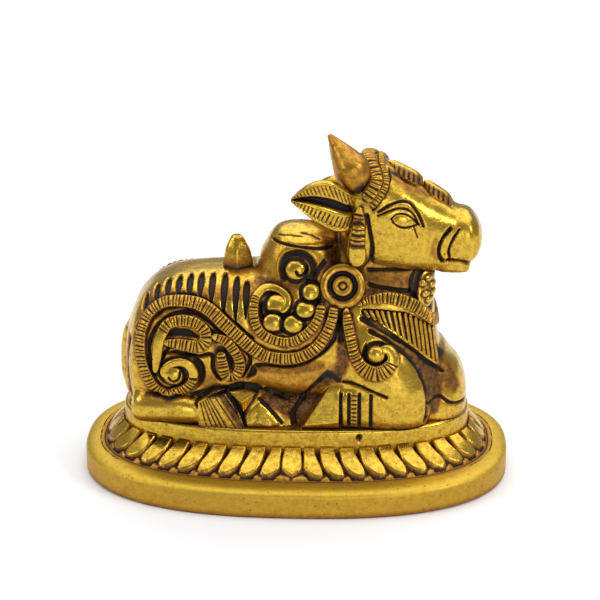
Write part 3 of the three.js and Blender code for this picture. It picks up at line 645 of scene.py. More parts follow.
# Curls cut into the bosses
CURLS = [
    ([[3, 37.8], [2.3, 36.2], [1.1, 35.8], [0.5, 36.7]], 0.75, 0.7),
    ([[-26.2, 13.9], [-26.6, 12.2], [-28, 11.6], [-28.8, 12.5]], 0.7, 0.6),
]
CRESCENTS = [
    ([[-29.9, 18], [-27.1, 18.4], [-23.6, 17.4], [-21.4, 14.6], [-21.4, 11.4], [-23, 8.8]], 1.9,
      1.1),
    ([[-7.3, 30.6], [-7.7, 29.2], [-7.5, 27.6], [-6.9, 26.6]], 1.4, 1),
    ([[-30, 22.5], [-27.1, 23.2], [-23.9, 22.9], [-21.4, 21.9]], 2.6, 1),
    ([[-15.8, 19.8], [-15, 18.2], [-14.6, 15.5], [-14.3, 13.8]], 1.9, 1),
    ([[-21.8, 7.4], [-16.2, 8.9], [-12.4, 9.9], [-9.3, 9.5], [-5, 8], [0.4, 5]], 1.9, 0.8),
    ([[-9.6, 15.4], [-9.4, 13.6], [-11, 11.6]], 1.9, 1),
    ([[16.9, 21.6], [16.4, 19.2], [17.2, 17.2], [19.2, 16.5], [21, 17.2]], 1.4, 0.9),
]
BOSSES = [
    (-27.9, 12.6, 2.4, 2.3, 1.5), (-3.8, 29.6, 2.5, 1.9, 1.1), (19.2, 19.1, 2.1, 2, 1.8),
    (-4.6, 25.8, 2.4, 2, 1.1), (0, 25.6, 2.3, 2, 1.1), (2.7, 28.7, 2.2, 1.7, 1.1),
    (3.9, 32.2, 2, 1.8, 1.1), (0.3, 36.9, 2.3, 2.2, 1.1), (30.5, 31.6, 2.1, 4.4, 0.8),
]
# Rough bits of metal left in the gap before the foreleg
BITS = [[-1.9, 4.5], [-0.8, 3.3], [-2.1, 3], [0.1, 5.5], [-0.7, 6.3], [-1.6, 5.7], [0.9, 6.6]]
BELL_BEADS = [[29.4, 33.3], [30.5, 34.2], [29.9, 30.8], [30.7, 29.2], [31.6, 30.6], [31.5, 32.4]]
# Where old polish lies thick, and where shade is painted in the recesses between parts: a line, its
# widths and how dark it is
STAIN_AND_SHADE_SPACING = 1.5
STAINS_AND_SHADE = [
    ([[-12, 12], [-2, 12], [9, 13]], [7, 9, 7], 0.2),
    ([[-9, 14.6], [0, 14.6], [6, 15.8]], [2, 2.5, 3], 0.42),
    ([[-9, 38], [0, 38], [12, 38]], [8, 9, 8], 0.16),
    ([[-22, 31.4], [-14, 31.4], [-9, 32.4]], [2, 3, 3], 0.3),
    ([[-18.6, 12.4], [-20.4, 10.4], [-22, 16]], [3, 4, 2], 0.34),
    ([[-12, 9.4], [-4, 8.2], [3, 6.8]], [2, 2.2, 2.6], 0.5),
    ([[5, 10.4], [9, 12.4], [11.6, 17], [11, 24]], [2, 3.4, 3.6, 2.4], 0.58),
    ([[17, 25.6], [22.4, 23.6], [27.6, 19.4], [31, 14.6], [33, 9], [33, 3]],
      [1.5, 2.6, 3.6, 5, 5, 2.6], 0.56),
    ([[32, 16], [35.4, 11], [37.6, 7.6]], [2, 4, 3], 0.5),
    ([[16.6, 27], [22.4, 25.9], [28, 22.4], [32.6, 17.6]], [2, 4, 7, 9], 0.95),
    ([[15, 34.9], [23, 34.8], [31, 34]], [5.4, 5.4, 5.4], 0.42),
    ([[14.6, 31.9], [22, 31.6], [28, 30.2]], [2, 2.2, 2.4], 0.6),
    ([[-9, 33.6], [-4, 33.6], [1, 33.6], [5, 34]], [1.5, 2.4, 2, 2], 0.5),
    ([[8, 45], [9, 40], [8, 36], [5.6, 33]], [5, 5, 4, 2], 0.6),
    ([[-20, 21.4], [-18, 20.2]], [2, 2], 0.4),
    ([[-9.6, 25], [-9.2, 20.8]], [1.6, 1.6], 0.4),
    ([[-34.6, 7.4], [-28, 8.2], [-22, 7.4]], [1, 1.4, 1], 0.6),
    ([[1.6, 0.6], [3.4, 5], [5.6, 9.6]], [2, 2, 1.2], 0.3),
    ([[6.6, 12.8], [8.4, 13.6], [10.6, 12.2]], [1.6, 2.4, 1.4], 1),
    ([[-16.9, 8.6], [-14.2, 4], [-11.8, -0.2]], [1, 1.5, 1.2], 0.6),
    ([[-10.8, 0.4], [-7, 0.3], [-3.2, 0.4]], [0.8, 1, 0.8], 0.4),
    ([[3, 0.3], [6.6, 0.5], [10.6, 0.8]], [0.8, 1.4, 1.4], 0.35),
]
# Chisel lines on the hind hoof, by their share of the way along its ridge
HOOF_LINES = [([[-21.8 + 4 * share, 6 + 2.8 * share], [-20.6 + 9 * share, -0.8]], 0.36, 0.2)
              for share in (0.05, 0.2, 0.34, 0.47, 0.6, 0.86)]
HOOF_LINES += [([[-16.8 + share, 9.2], [-11.8 + 0.6 * share, 1 + 2 * share]], 0.42, 0.25)
               for share in (0.2, 0.8)]
# What the far side has too: these grooves, and so many of the moats, crescents and bosses
PLAIN_GROOVES = (0, 4, 5, 7, 8, 9, 15)
PLAIN_MOATS = 2
PLAIN_CRESCENTS = 1
PLAIN_BOSSES = 3
# The anklet: x of its upright cuts, their middle height and reach, and the ticks up its wide band
ANKLETS = [11.1, 13, 15.4, 18.1]
ANKLET_MIDDLE = 4.9
ANKLET_REACH = 4.6
ANKLET_TICKS = np.arange(1.4, 9, 1.05)
ANKLET_TICK_X = 14.2
# Flutes over the back: x, then where each begins and ends across
FLUTES = [
    [-34.9, 5, 11.6], [-32.2, 3.8, 10.6], [-29.6, 3.6, 11], [-27, 3.6, 11.2], [-24.4, 3.6, 11.6],
    [-21.8, 3.6, 12], [-19.1, 4, 13], [-16.2, 4.4, 14.8], [-13.4, 6, 15], [-11, 7.6, 14.6],
]
# On the far side there is every other one, further down
FAR_FLUTES = [[x, begin + 5, end + 3] for x, begin, end in FLUTES[::2]]
FLUTE_WIDTH = 1.7
FLUTE_DEPTH = 0.9

moats = lines_of(MOATS)
flank_grooves = lines_of(FLANK_GROOVES)
crescents = lines_of(CRESCENTS)
curls = lines_of(CURLS, 0.3)
hoof_lines = lines_of(HOOF_LINES)
stains_and_shade = lines_of(STAINS_AND_SHADE, STAIN_AND_SHADE_SPACING)


def carve_flank(relief):
    """The whole carving of the near flank."""
    relief.grooves(moats)
    relief.stains_and_shade(stains_and_shade)
    relief.grooves(flank_grooves + hoof_lines)
    relief.grooves(crescents, tapered=True)
    for place in BOSSES:
        relief.boss(*place)
    relief.beads(BELL_BEADS, 0.8, 0.5)
    relief.beads(BITS, 0.45, 0.3)
    relief.grooves(curls)
    tall = rise((ANKLET_REACH - np.abs(relief.z - ANKLET_MIDDLE)) / 0.5)
    for x in ANKLETS:
        relief.cut(rise((0.5 - np.abs(relief.x - x)) / 0.25) * tall, 0.7)
    wide = rise((0.7 - np.abs(relief.x - ANKLET_TICK_X)) / 0.2)
    for z in ANKLET_TICKS:
        relief.cut(rise((0.26 - np.abs(relief.z - z)) / 0.2) * wide, 0.3)


def carve_far_flank(relief):
    """The plainer carving of the far flank."""
    relief.grooves(moats[:PLAIN_MOATS])
    relief.stains_and_shade(stains_and_shade)
    relief.grooves([flank_grooves[number] for number in PLAIN_GROOVES] + hoof_lines)
    relief.grooves(crescents[:PLAIN_CRESCENTS], tapered=True)
    for place in BOSSES[:PLAIN_BOSSES]:
        relief.boss(*place)


def carve_flutes(relief, x, across, flutes):
    for place, begin, end in flutes:
        middle, half = (begin + end) / 2, (end - begin) / 2
        bulge = np.sqrt(np.clip(1 - ((across - middle) / half) ** 2, 0, 1))
        relief.cut(rise((FLUTE_WIDTH / 2 * bulge - np.abs(x - place)) / 0.25), FLUTE_DEPTH)


# The hollow under the belly, painted dark as shade: its half width, top, and x of its back and front
HOLLOW_HALF = 14.7
HOLLOW_TOP = 8.6
HOLLOW_BACK, HOLLOW_FRONT = -22, 24
HOLLOW_SHADE = 0.6
FLUTES_ABOVE = 20


def body_relief(points, normals):
    height, dirt_and_shade = np.zeros(len(points)), np.zeros(len(points))
    near = points[:, 1] < 0
    for side, carve, flutes in [(near, carve_flank, FLUTES), (~near, carve_far_flank, FAR_FLUTES)]:
        chosen = np.flatnonzero(side)
        x, across, z = points[chosen, 0], np.abs(points[chosen, 1]), points[chosen, 2]
        relief = Relief(x, z)
        carve(relief)
        # The carving fades where the skin turns away from the side view
        facing = rise((np.abs(normals[chosen, 1]) - 0.12) / 0.25)
        # Painted shade in the hollow under the belly
        belly_shade = rise((HOLLOW_HALF - across) / 0.5) * rise(HOLLOW_TOP - z)
        belly_shade = belly_shade * rise(x - HOLLOW_BACK) * rise((HOLLOW_FRONT - x) / 2)
        flank_dirt_and_shade = np.maximum(relief.dirt_and_shade * facing, HOLLOW_SHADE * belly_shade)
        back = rise((z - FLUTES_ABOVE) / 2)
        over = Relief(x, z)
        carve_flutes(over, x, across, flutes)
        height[chosen] = relief.height * facing + over.height * back
        dirt_and_shade[chosen] = np.maximum(flank_dirt_and_shade, over.dirt_and_shade * back)
    return height, dirt_and_shade


FACE_GROOVES = [
    ([[19.1, 51.4], [21.6, 52.9], [24.1, 53.7], [26.4, 53.2], [28, 51.2], [28.9, 49.5],
      [29.5, 47.8]], 0.75, 0.6),
    ([[19, 50.5], [21.6, 51.6], [23.6, 52.2], [25.7, 51.9], [27.3, 50.6], [28.2, 48.6]], 0.6, 0.5),
    ([[22.1, 49.8], [23.2, 50.8], [24.8, 51], [26.5, 50.2], [27.8, 49], [28.6, 48.1]], 0.5, 0.4),
    ([[22.1, 49.8], [22.9, 48.6], [24.6, 47.8], [26.4, 47.9], [28.4, 48.4]], 0.55, 0.4),
    ([[27.3, 47.9], [28.2, 45.2]], 0.45, 0.3),
    ([[35.8, 46.6], [34.2, 44.8], [33.3, 42.6], [33.3, 40.3], [34.2, 38.4]], 1, 1),
    ([[37.8, 46.3], [36.4, 44.1], [35.5, 41.6], [35.7, 39.5]], 0.7, 0.8),
    ([[21.9, 61.3], [21.7, 58.4], [20.5, 55.5], [17.9, 51.9]], 0.8, 0.6),
    ([[16.5, 50.4], [17.3, 46.2], [17.8, 42.5], [17.4, 38.4], [16.2, 36.2]], 1.1, 0.7),
    ([[12.7, 50.6], [12.4, 46], [11.9, 41.5], [12.4, 37]], 1, 0.7),
    ([[22.6, 59.4], [26.2, 57.1], [30.4, 54.8], [33.4, 53], [36.4, 50.8]], 1.3, 0.6),
]
EYEBALL = (24.9, 49.4, 2.3, 1.4, 0.35)
MOUTH = [[35.4, 38.7], [38.1, 38.3], [40.2, 37.6], [42, 37], [43.6, 36.6]]
# Old polish, and painted shade under the jaw: a line, its widths and how dark it is
FACE_STAINS_AND_SHADE = [
    ([[13, 36], [20, 35], [28, 34.8], [34, 35.2]], [3, 2.4, 2.4, 1.6], 0.5),
    ([[32.4, 44.6], [31.8, 42.3], [32.6, 39.6]], [1, 1.4, 1.4], 0.3),
    ([[22.6, 58.4], [26.8, 56.2], [31, 53.8]], [1.6, 2.4, 1.6], 0.35),
]

face_grooves = lines_of(FACE_GROOVES)
face_stains_and_shade = lines_of(FACE_STAINS_AND_SHADE, STAIN_AND_SHADE_SPACING)
mouth = Line(MOUTH)


def face_relief(points, normals):
    x, y, z = points.T
    relief = Relief(x, z)
    relief.boss(*EYEBALL, outlined=False)
    relief.grooves(face_grooves)
    relief.stains_and_shade(face_stains_and_shade)
    facing = rise((np.abs(normals[:, 1]) - 0.1) / 0.2)
    # The mouth runs on round the front
    wrapped = Relief(x, z)
    wrapped.groove(mouth, 1.2, 1.2)
    return (relief.height * facing + wrapped.height,
            np.maximum(relief.dirt_and_shade * facing, wrapped.dirt_and_shade))


# Closed meshes from rings


def outward(points, faces):
    a, b, c = [points[faces[:, i]] for i in range(3)]
    return faces if (np.cross(a, b) * c).sum() > 0 else faces[:, ::-1]


def ring_body(rings, dirt_and_shade):
    """A closed skin through rings with equal counts of points, with a fan on each end."""
    rings = np.array(rings, float)
    rows, count, _ = rings.shape
    middles = np.stack([rings[0].mean(0), rings[-1].mean(0)])
    points = np.vstack([rings.reshape(-1, 3), middles])
    ring, i = np.meshgrid(np.arange(rows - 1), np.arange(count), indexing="ij")
    low = ring * count
    j = (i + 1) % count
    a, b, c, d = [v.ravel() for v in (low + i, low + j, low + count + j, low + count + i)]
    ends = []
    for start, middle, flip in [(0, len(points) - 2, 1), ((rows - 1) * count, len(points) - 1, -1)]:
        rim = start + np.arange(count)
        ends.append(np.stack([np.full(count, middle), np.roll(rim, -1), rim], 1)[:, ::flip])
    faces = np.vstack([np.stack([a, b, c], 1), np.stack([a, c, d], 1), *ends])
    shade = np.concatenate([np.array(dirt_and_shade, float).ravel(), [0, 0]])
    return points, outward(points, faces), shade


def joined(shapes):
    points, faces, dirt_and_shade, start = [], [], [], 0
    for shape_points, shape_faces, shape_dirt_and_shade in shapes:
        points.append(shape_points)
        faces.append(shape_faces + start)
        dirt_and_shade.append(shape_dirt_and_shade)
        start += len(shape_points)
    return np.vstack(points), np.vstack(faces), np.concatenate(dirt_and_shade)


OTHER_SIDE = np.array([1, -1, 1])


def mirrored(shape):
    points, faces, dirt_and_shade = shape
    return points * OTHER_SIDE, faces[:, ::-1], dirt_and_shade


def both_sides(shapes):
    return joined([*shapes, *[mirrored(one) for one in shapes]])


# Bands laid on a skin

# How deep a band's edges lie under the skin, and where its points lie across it
BAND_SUNK = 1
BAND_SIDES = np.array([-1, -0.94, -0.84, -0.68, -0.4, -0.1, 0.1, 0.4, 0.68, 0.84, 0.94, 1])
TICK_PITCH = 0.84
TICK_DEPTH = 0.34
# The share of a band over which its ticks fade in and out
TICK_FADE = 0.01


def band(field, places, width, relief, ticked=(0, 1), pitch=TICK_PITCH, step=None):
    """A closed band along places of a skin. ticked is the share of it with chiselled ticks."""
    spacing = step or pitch / 7
    line, normals = pulled(field, smooth_line(places, spacing), 2)
    ahead = np.vstack([line[1:], 2 * line[-1] - line[-2]])
    behind = np.vstack([2 * line[0] - line[1], line[:-1]])
    across = unit(np.cross(ahead - behind, normals))

    # The outline, with rounded ends
    length = len(line) * spacing
    walked = np.arange(len(line)) * spacing
    share = walked / length
    widths = np.atleast_1d(width)
    half = np.interp(share, np.linspace(0, 1, len(widths)), widths) / 2
    to_end = np.minimum(walked, length - walked) / half
    half = half * np.sqrt(np.clip(1 - (1 - np.minimum(to_end, 1)) ** 2, 0.03, 1))
    spread = line[:, None] + across[:, None] * (half[:, None] * BAND_SIDES)[..., None]
    spread, lift_way = pulled(field, spread.reshape(-1, 3), 2)

    # The domed section, with ticks at a slightly uneven pitch
    sides = np.abs(BAND_SIDES)
    dome = relief * np.sqrt(np.clip(1 - sides ** 5, 0, 1))
    uneven = walked + 0.16 * pitch * np.sin(2.3 * walked)
    first, last = ticked
    tick = (rise((np.cos(np.pi * uneven / pitch) ** 2 - 0.1) / 0.45)
            * rise((share - first) / TICK_FADE) * rise((last - share) / TICK_FADE))
    between = (1 - tick)[:, None]
    inside = (share > first) & (share < last)
    chiselled = rise((0.9 - sides) / 0.12)[None] * inside[:, None]
    lift = dome[None] - TICK_DEPTH * between * chiselled
    lift[:, [0, -1]] = -BAND_SUNK
    dirt_and_shade = np.maximum(between * 0.8, 0.1) * chiselled
    dirt_and_shade = np.maximum(dirt_and_shade, rise((sides - 0.9) / 0.08)[None] * 0.9)
    grid = (len(line), len(BAND_SIDES), 3)
    return ring_body(spread.reshape(grid) + lift_way.reshape(grid) * lift[..., None], dirt_and_shade)


def side_band(field, places, width, relief, **how):
    return band(field, seen_from_side(field, places), width, relief, **how)


def flank_bands():
    def main(pitch):
        return [
            side_band(body_field, GARLAND, GARLAND_WIDTH, 1, ticked=(0.12, 1), pitch=pitch),
            side_band(body_field, SADDLE, SADDLE_WIDTH, 1, ticked=(0, 0.68), pitch=pitch),
            side_band(body_field, STRAP, STRAP_WIDTH, 1.1, ticked=(0.03, 0.8), pitch=pitch),
        ]

    haunch = [
        side_band(body_field, LEAF, LEAF_WIDTH, 0.8, ticked=(0.3, 0.97)),
        side_band(body_field, LOOP, LOOP_WIDTH, 0.8, ticked=(0.05, 1)),
    ]
    return joined([*main(TICK_PITCH), *haunch, *[mirrored(one) for one in main(1.5 * TICK_PITCH)]])


# Collar: a ticked band round the neck with a pleated fringe below it

COLLAR = [[14.6, 28.8], [16.8, 29.9], [19.1, 30.3], [22.1, 30.5], [26.8, 29.1], [30, 26.4], [32, 23.8]]
COLLAR_WIDTH = [1.2, 2.8, 3.3, 3.3, 3.2, 3, 3, 3.2, 3.3, 3.3, 2.8, 1.2]
FRINGE_TOP = [[15.6, 27.8], [20.3, 27.9], [26.1, 27], [29.8, 24.4], [32.4, 22]]
FRINGE_FOOT = [[15.7, 26.8], [20.3, 24.9], [27.4, 19.7], [30.7, 16.2], [33.4, 13.4]]
PLEATS = 14
PLEAT_WIDTH = 0.84
PLEAT_LEAN = 0.04
PLEAT_DIRT = 0.14
UNTICKED = (2, 2)     # past a band's end


def collar():
    flank = seen_from_side(body_field, smooth_line(COLLAR, 1.5))
    front = np.array([[33, 0, 22]])
    around = np.vstack([flank, front, (flank * OTHER_SIDE)[::-1]])
    return band(body_field, around, COLLAR_WIDTH, 0.8, ticked=(0.02, 0.98))


def fringe():
    top, foot = smooth_line(FRINGE_TOP, 0.2), smooth_line(FRINGE_FOOT, 0.2)

    def at(line, share):
        return line[int(round(share * (len(line) - 1)))]

    pleats = []
    for i in range(PLEATS):
        share = (i + 0.5) / PLEATS
        ends = seen_from_side(body_field, [at(top, share), at(foot, min(share + PLEAT_LEAN, 1))])
        points, faces, dirt_and_shade = band(body_field, ends, PLEAT_WIDTH, 0.6, ticked=UNTICKED, step=0.4)
        pleats.append((points, faces, np.maximum(dirt_and_shade, PLEAT_DIRT)))
    hem = side_band(body_field, FRINGE_FOOT[1:], 0.7, 0.4, ticked=UNTICKED, step=0.4)
    return both_sides([*pleats, hem])


# Head: bands over the brow and down the cheek, ridge ornament, horns and ears

HEADBANDS = [
    [[16.6, 0, 62.9], [17.2, -4, 62.4], [18.5, -7.2, 61], [18.9, -8.8, 59.2], [17.6, -9.7, 56.4],
     [15.7, -9.8, 53.8]],
    [[19.8, 0, 62], [20.1, -4, 61.5], [21.1, -7.2, 60], [21, -8.9, 58], [19.7, -9.8, 55.4],
     [17.4, -9.9, 52.4]],
]
HEADBAND_WIDTHS = (3.1, 1.6)
HEADBAND_PITCHES = (1.15, 0.8)
CHEEK_STRAP = [[15.1, 52.6], [14.9, 50], [14.7, 47], [14.5, 44], [14.4, 41], [14.4, 38.9]]
CHEEK_WIDTH = [1.4, 2.8, 3.5, 3.9, 4.2, 4.5, 4.6]
# Ornament along the nose: x, top and half width
RIDGES = [
    [[21.2, 60.6, 0.8], [22.2, 60.7, 2.6], [23.5, 60.3, 3.6], [27.7, 58.2, 3.4], [29.3, 56.7, 1.2]],
    [[29.5, 56, 0.8], [30.4, 56, 2.8], [32, 55.2, 3.6], [35.2, 53, 3], [36.8, 50.7, 1]],
]
RIDGE_SUNK = 4
NOTCH_PITCH = 1.15
HORN_DIRT = 0.23
NEAR_HORN = [
    [15.2, -8.2, 55.4, 0.5], [15, -7.8, 56.6, 2.2], [14.2, -7.1, 58.4, 3.6], [12.9, -6.2, 60.4, 4.2],
    [11.5, -5, 62.4, 3.4], [9.6, -3.7, 65, 1.9], [7.7, -2.4, 67.3, 0.5],
]
FAR_HORN = [
    [14.6, 8, 49.5, 1.2], [14, 7.2, 52.6, 3.2], [12.8, 6, 55.6, 3.7], [10.8, 4.6, 59, 2.8],
    [9, 3.2, 62.2, 1.5], [7.9, 2.4, 64.4, 0.5],
]
NEAR_EAR = [
    [14.6, -6.6, 50.8, 3.2], [12, -9.4, 51.6, 5], [9, -11, 53.1, 5.9], [6, -11.8, 54.2, 5.2],
    [3.4, -12.2, 54.8, 3.8], [1.2, -12.4, 55, 2], [-0.6, -12.5, 54.9, 0.4],
]
EAR_TICK_PITCH = 1.15
# How far up the leaf and how far out of it, round the section from the top edge
EAR_SECTION = [
    [1, 0], [0.95, 0.75], [0.86, 1], [0.78, 0.72], [0.5, 0.6], [0.28, 0.2], [0.2, -0.8], [0.02, -1.2],
    [-0.08, -0.6], [-0.16, 0.45], [-0.28, 0.7], [-0.38, 0.5], [-0.7, 0.75], [-0.86, 1], [-0.95, 0.75],
    [-1, 0], [-0.6, -1.6], [0, -2.6], [0.6, -2.6], [0.92, -1.5],
]
FAR_EAR = [[x + 0.2 * i, -y * 0.93, z - 2.4 - 1.3 * i, half * 0.9]
           for i, (x, y, z, half) in enumerate(NEAR_EAR)]


def head_bands():
    shapes = []
    for places, width, pitch in zip(HEADBANDS, HEADBAND_WIDTHS, HEADBAND_PITCHES):
        half = np.array(places, float)
        whole = np.vstack([half[::-1], (half * OTHER_SIDE)[1:]])
        shapes.append(band(head_field, whole, width, 0.9, pitch=pitch))
    strap = side_band(head_field, CHEEK_STRAP, CHEEK_WIDTH, 1.1, ticked=(0.12, 0.7), pitch=1.25)
    return joined([*shapes, both_sides([strap])])


def ridge(stations):
    """A length of the nose's ornament: notched sides that slope from a keel to a sunk foot."""
    stations = smooth_line(stations, 0.15)
    turn = np.linspace(0, 2 * np.pi, 48, endpoint=False)
    side, rising = np.cos(turn), np.sin(turn)
    slopes = 1.4
    flank = rise((0.93 - rising) / 0.2) * rise((rising + 0.1) / 0.2)
    rings, shades = [], []
    for x, top, half in stations:
        slanted = x + 0.5 * np.abs(side)
        notch = rise((np.cos(2 * np.pi * slanted / NOTCH_PITCH) - 0.2) / 0.5) * flank
        y = (half - 0.3 * notch) * np.sign(side) * np.abs(side) ** slopes
        tall = np.sign(rising) * np.abs(rising) ** slopes
        z = top - RIDGE_SUNK / 2 + RIDGE_SUNK / 2 * tall - 0.25 * notch
        rings.append(np.stack([np.full(len(turn), x), y, z], 1))
        shades.append(np.maximum(0.45 * flank, 0.9 * notch))
    return ring_body(rings, shades)


def horn(stations):
    step = 0.3
    line = smooth_line(stations, step)
    axis = unit(line[-1, :3] - line[0, :3])
    across = unit(np.cross(axis, [0, 1, 0]))
    up = np.cross(axis, across)
    turn = np.linspace(0, 2 * np.pi, 48, endpoint=False)[:, None]
    rings = [row[:3] + row[3] * (np.cos(turn) * across + np.sin(turn) * up) for row in line]
    foot = rise((4.2 - step * np.arange(len(line))) / 3.4)
    return ring_body(rings, np.repeat(np.maximum(foot, HORN_DIRT)[:, None], len(turn), axis=1))


def ear(stations):
    """A leaf pointing back, with ticked rims above and below a hollow that faces outwards."""
    step = 0.2
    line = smooth_line(stations, step)
    section = smooth_line(EAR_SECTION + EAR_SECTION[:1], 0.08)[:-1]
    walked = np.arange(len(line)) * step
    rings, shades = [], []
    for i, (x, y, z, half) in enumerate(line):
        thick = min(1, (len(line) - i) * step / 2)
        up, out = section.T
        rim = (rise((out - 0.15) / 0.2) * rise((0.82 - np.abs(up)) / 0.06)
               * rise((np.abs(up) - 0.32) / 0.06))
        slanted = walked[i] - np.abs(up) * half * 0.5
        tick = rise((np.cos(2 * np.pi * slanted / EAR_TICK_PITCH) - 0.45) / 0.4) * rim
        side = np.sign(y)
        rings.append(np.stack([
            np.full(len(up), x), y + side * thick * (out - 0.35 * tick), z + up * half], 1))
        hollow = rise((0.1 - out) / 0.4) * (np.abs(up) < 0.3) * (out > -1.3)
        shades.append(np.maximum(tick * 0.85, hollow))
    return ring_body(rings, shades)


# Shoulder rosettes, and the finial on the back


def turned(profile, dirt_and_shade, sides=96):
    """A turned form about z from its radius and height."""
    turn = np.linspace(0, 2 * np.pi, sides, endpoint=False)
    rings = [np.stack([radius * np.cos(turn), radius * np.sin(turn), np.full(sides, height)], 1)
             for radius, height in profile]
    return ring_body(rings, np.tile(np.array(dirt_and_shade)[:, None], (1, sides)))


ROSETTE_PLACE = np.array([11.2, -9.6, 33.2])
ROSETTE_TILT = np.radians(16)
ROSETTE_RADII = [5.2, 5.2, 5.05, 3.8, 3.55, 3.3, 2.5, 2.3, 2.15, 1.15, 1, 0.75, 0.6, 0.5, 0.1]
ROSETTE_HEIGHTS = [-2, 1, 1.25, 1.4, 1.2, 0.1, 0.1, 1, 1.2, 1.2, 0.8, 0.7, 1.05, 1.1, 1.1]
ROSETTE_DIRT = [1, 0.7, 0.2, 0.1, 0.5, 1, 1, 0.6, 0.15, 0.2, 1, 1, 0.3, 0.1, 0.1]


def rosette():
    points, faces, dirt_and_shade = turned(list(zip(ROSETTE_RADII, ROSETTE_HEIGHTS)), ROSETTE_DIRT)
    x, y, z = points.T
    out = np.stack([x, -z * np.cos(ROSETTE_TILT) + y * np.sin(ROSETTE_TILT),
                    z * np.sin(ROSETTE_TILT) + y * np.cos(ROSETTE_TILT)], 1)
    there = out + ROSETTE_PLACE
    return there, outward(there, faces), dirt_and_shade


FINIAL_AXIS = -13.9
FINIAL_FACES = np.radians([20, 75, 130, 185, 245, 300])
FINIAL_TOP = 41.8


def finial_field(x, y, z):
    """A blunt stone of flat faces: steep below and leaning in above."""
    faces = [z - FINIAL_TOP, 32 - z]
    for angle in FINIAL_FACES:
        across = (x - FINIAL_AXIS) * np.cos(angle) + y * np.sin(angle)
        faces.append(across - 3.5 + 0.14 * (z - 33))
        faces.append((across - 2.9 + 0.5 * (z - 38.4)) / 1.12)
    return -union([-face for face in faces], 0.4)


def finial_relief(points, normals):
    """No carving, and darker lower down."""
    return np.zeros(len(points)), 0.5 * rise((38.6 - points[:, 2]) / 4)


def finial():
    return carved_skin(finial_field, FINIAL_BOX, finial_relief, passes=2)


# Base


def oval(half, grown, angle):
    round_off = 2 / OVAL_POWER
    c, s = np.cos(angle), np.sin(angle)
    return np.stack([(half[0] + grown) * np.sign(c) * np.abs(c) ** round_off,
                     (half[1] + grown) * np.sign(s) * np.abs(s) ** round_off], -1)


def even_angles(quarter_count):
    """Angles of the oval in even steps along the petal band, and the walk along each quarter."""
    angle = np.linspace(0, np.pi / 2, 3000)
    middle = (oval(PLINTH_HALF, FOOT_BEVEL, angle) + oval(PETAL_HALF, -FOOT_BEVEL, angle)) / 2
    walked = np.concatenate([[0], np.cumsum(np.linalg.norm(np.diff(middle, axis=0), axis=1))])
    even = np.linspace(0, walked[-1], quarter_count, endpoint=False)
    quarter = np.interp(even, walked, angle)
    back = np.pi - np.append(quarter[1:], np.pi / 2)[::-1]
    half = np.concatenate([quarter, back])
    distance = np.concatenate([even, np.append(even[1:], walked[-1])[::-1]])
    return np.concatenate([half, half + np.pi]), np.tile(distance, 2), walked[-1]


def petal_relief(distance, out, length):
    """Height, and dirt with a painted shadow beside each petal, on the petal band, by the walk from
    its end and the share of the way out.
    """
    count = int(round(length / PETAL_PITCH - 0.5))
    pitch = length / (count + 0.5)
    lean = 0.5 * pitch * (out * out - 0.5)
    number = np.minimum(np.floor((distance + lean) / pitch), count - 1)
    beside = distance + lean - (number + 0.5) * pitch
    centre = distance - length
    in_centre = np.abs(centre) < 0.58 * pitch
    height, dirt_and_shade, inside = pad(beside, out, 0.49 * pitch, 0.36)
    # A dip beside each petal's lower end, painted dark as the petal's shadow
    shadow_pad = pad(beside - 0.16 * pitch, out - 0.1, 0.49 * pitch, 0.36)[2]
    pit = np.clip(shadow_pad - inside, 0, 1) * rise((out - 0.4) / 0.2)
    middle_height, middle_dirt, _ = pad(centre, out, 0.56 * pitch, 0.85)
    height = np.where(in_centre, middle_height, height - 0.7 * pit)
    return height, np.where(in_centre, middle_dirt, np.maximum(dirt_and_shade, pit))


def pad(beside, out, half, point):
    """One petal: a flat pad with a round end, or a pointed one, in a narrow dark outline."""
    widest = 0.6
    past = np.clip(out - widest, 0, 1) / (0.99 - widest)
    reach = half * (0.86 + 0.14 * rise(out / widest)) * np.clip(1 - past ** 2, 0, 1) ** point
    depth = reach - np.abs(beside)
    inside = rise(depth / 0.6 + 0.18)
    outline = rise(1.3 - np.abs(depth + 0.12) / 0.36)
    gap_floor = 0.15 * (1 - inside) * rise(-(depth + 0.4) / 0.5)
    height = PETAL_RELIEF * (1.5 - out ** 2) * inside + gap_floor
    rim_dirt = 0.95 * outline * (1 - 0.7 * inside)
    gap_dirt = (0.85 - 0.65 * rise((out - 0.82) / 0.14)) * (1 - inside)
    return height, np.maximum(rim_dirt, gap_dirt), inside


# The groove in the slab round the petals: how far out of them, how deep and how dark
SLAB_GROOVE = [(1.4, 0, 0.12), (0.9, 0, 0.2), (0.5, 0, 0.12), (0.3, 0.25, 1), (0.05, 0, 0.35)]
QUARTER_POINTS = 290


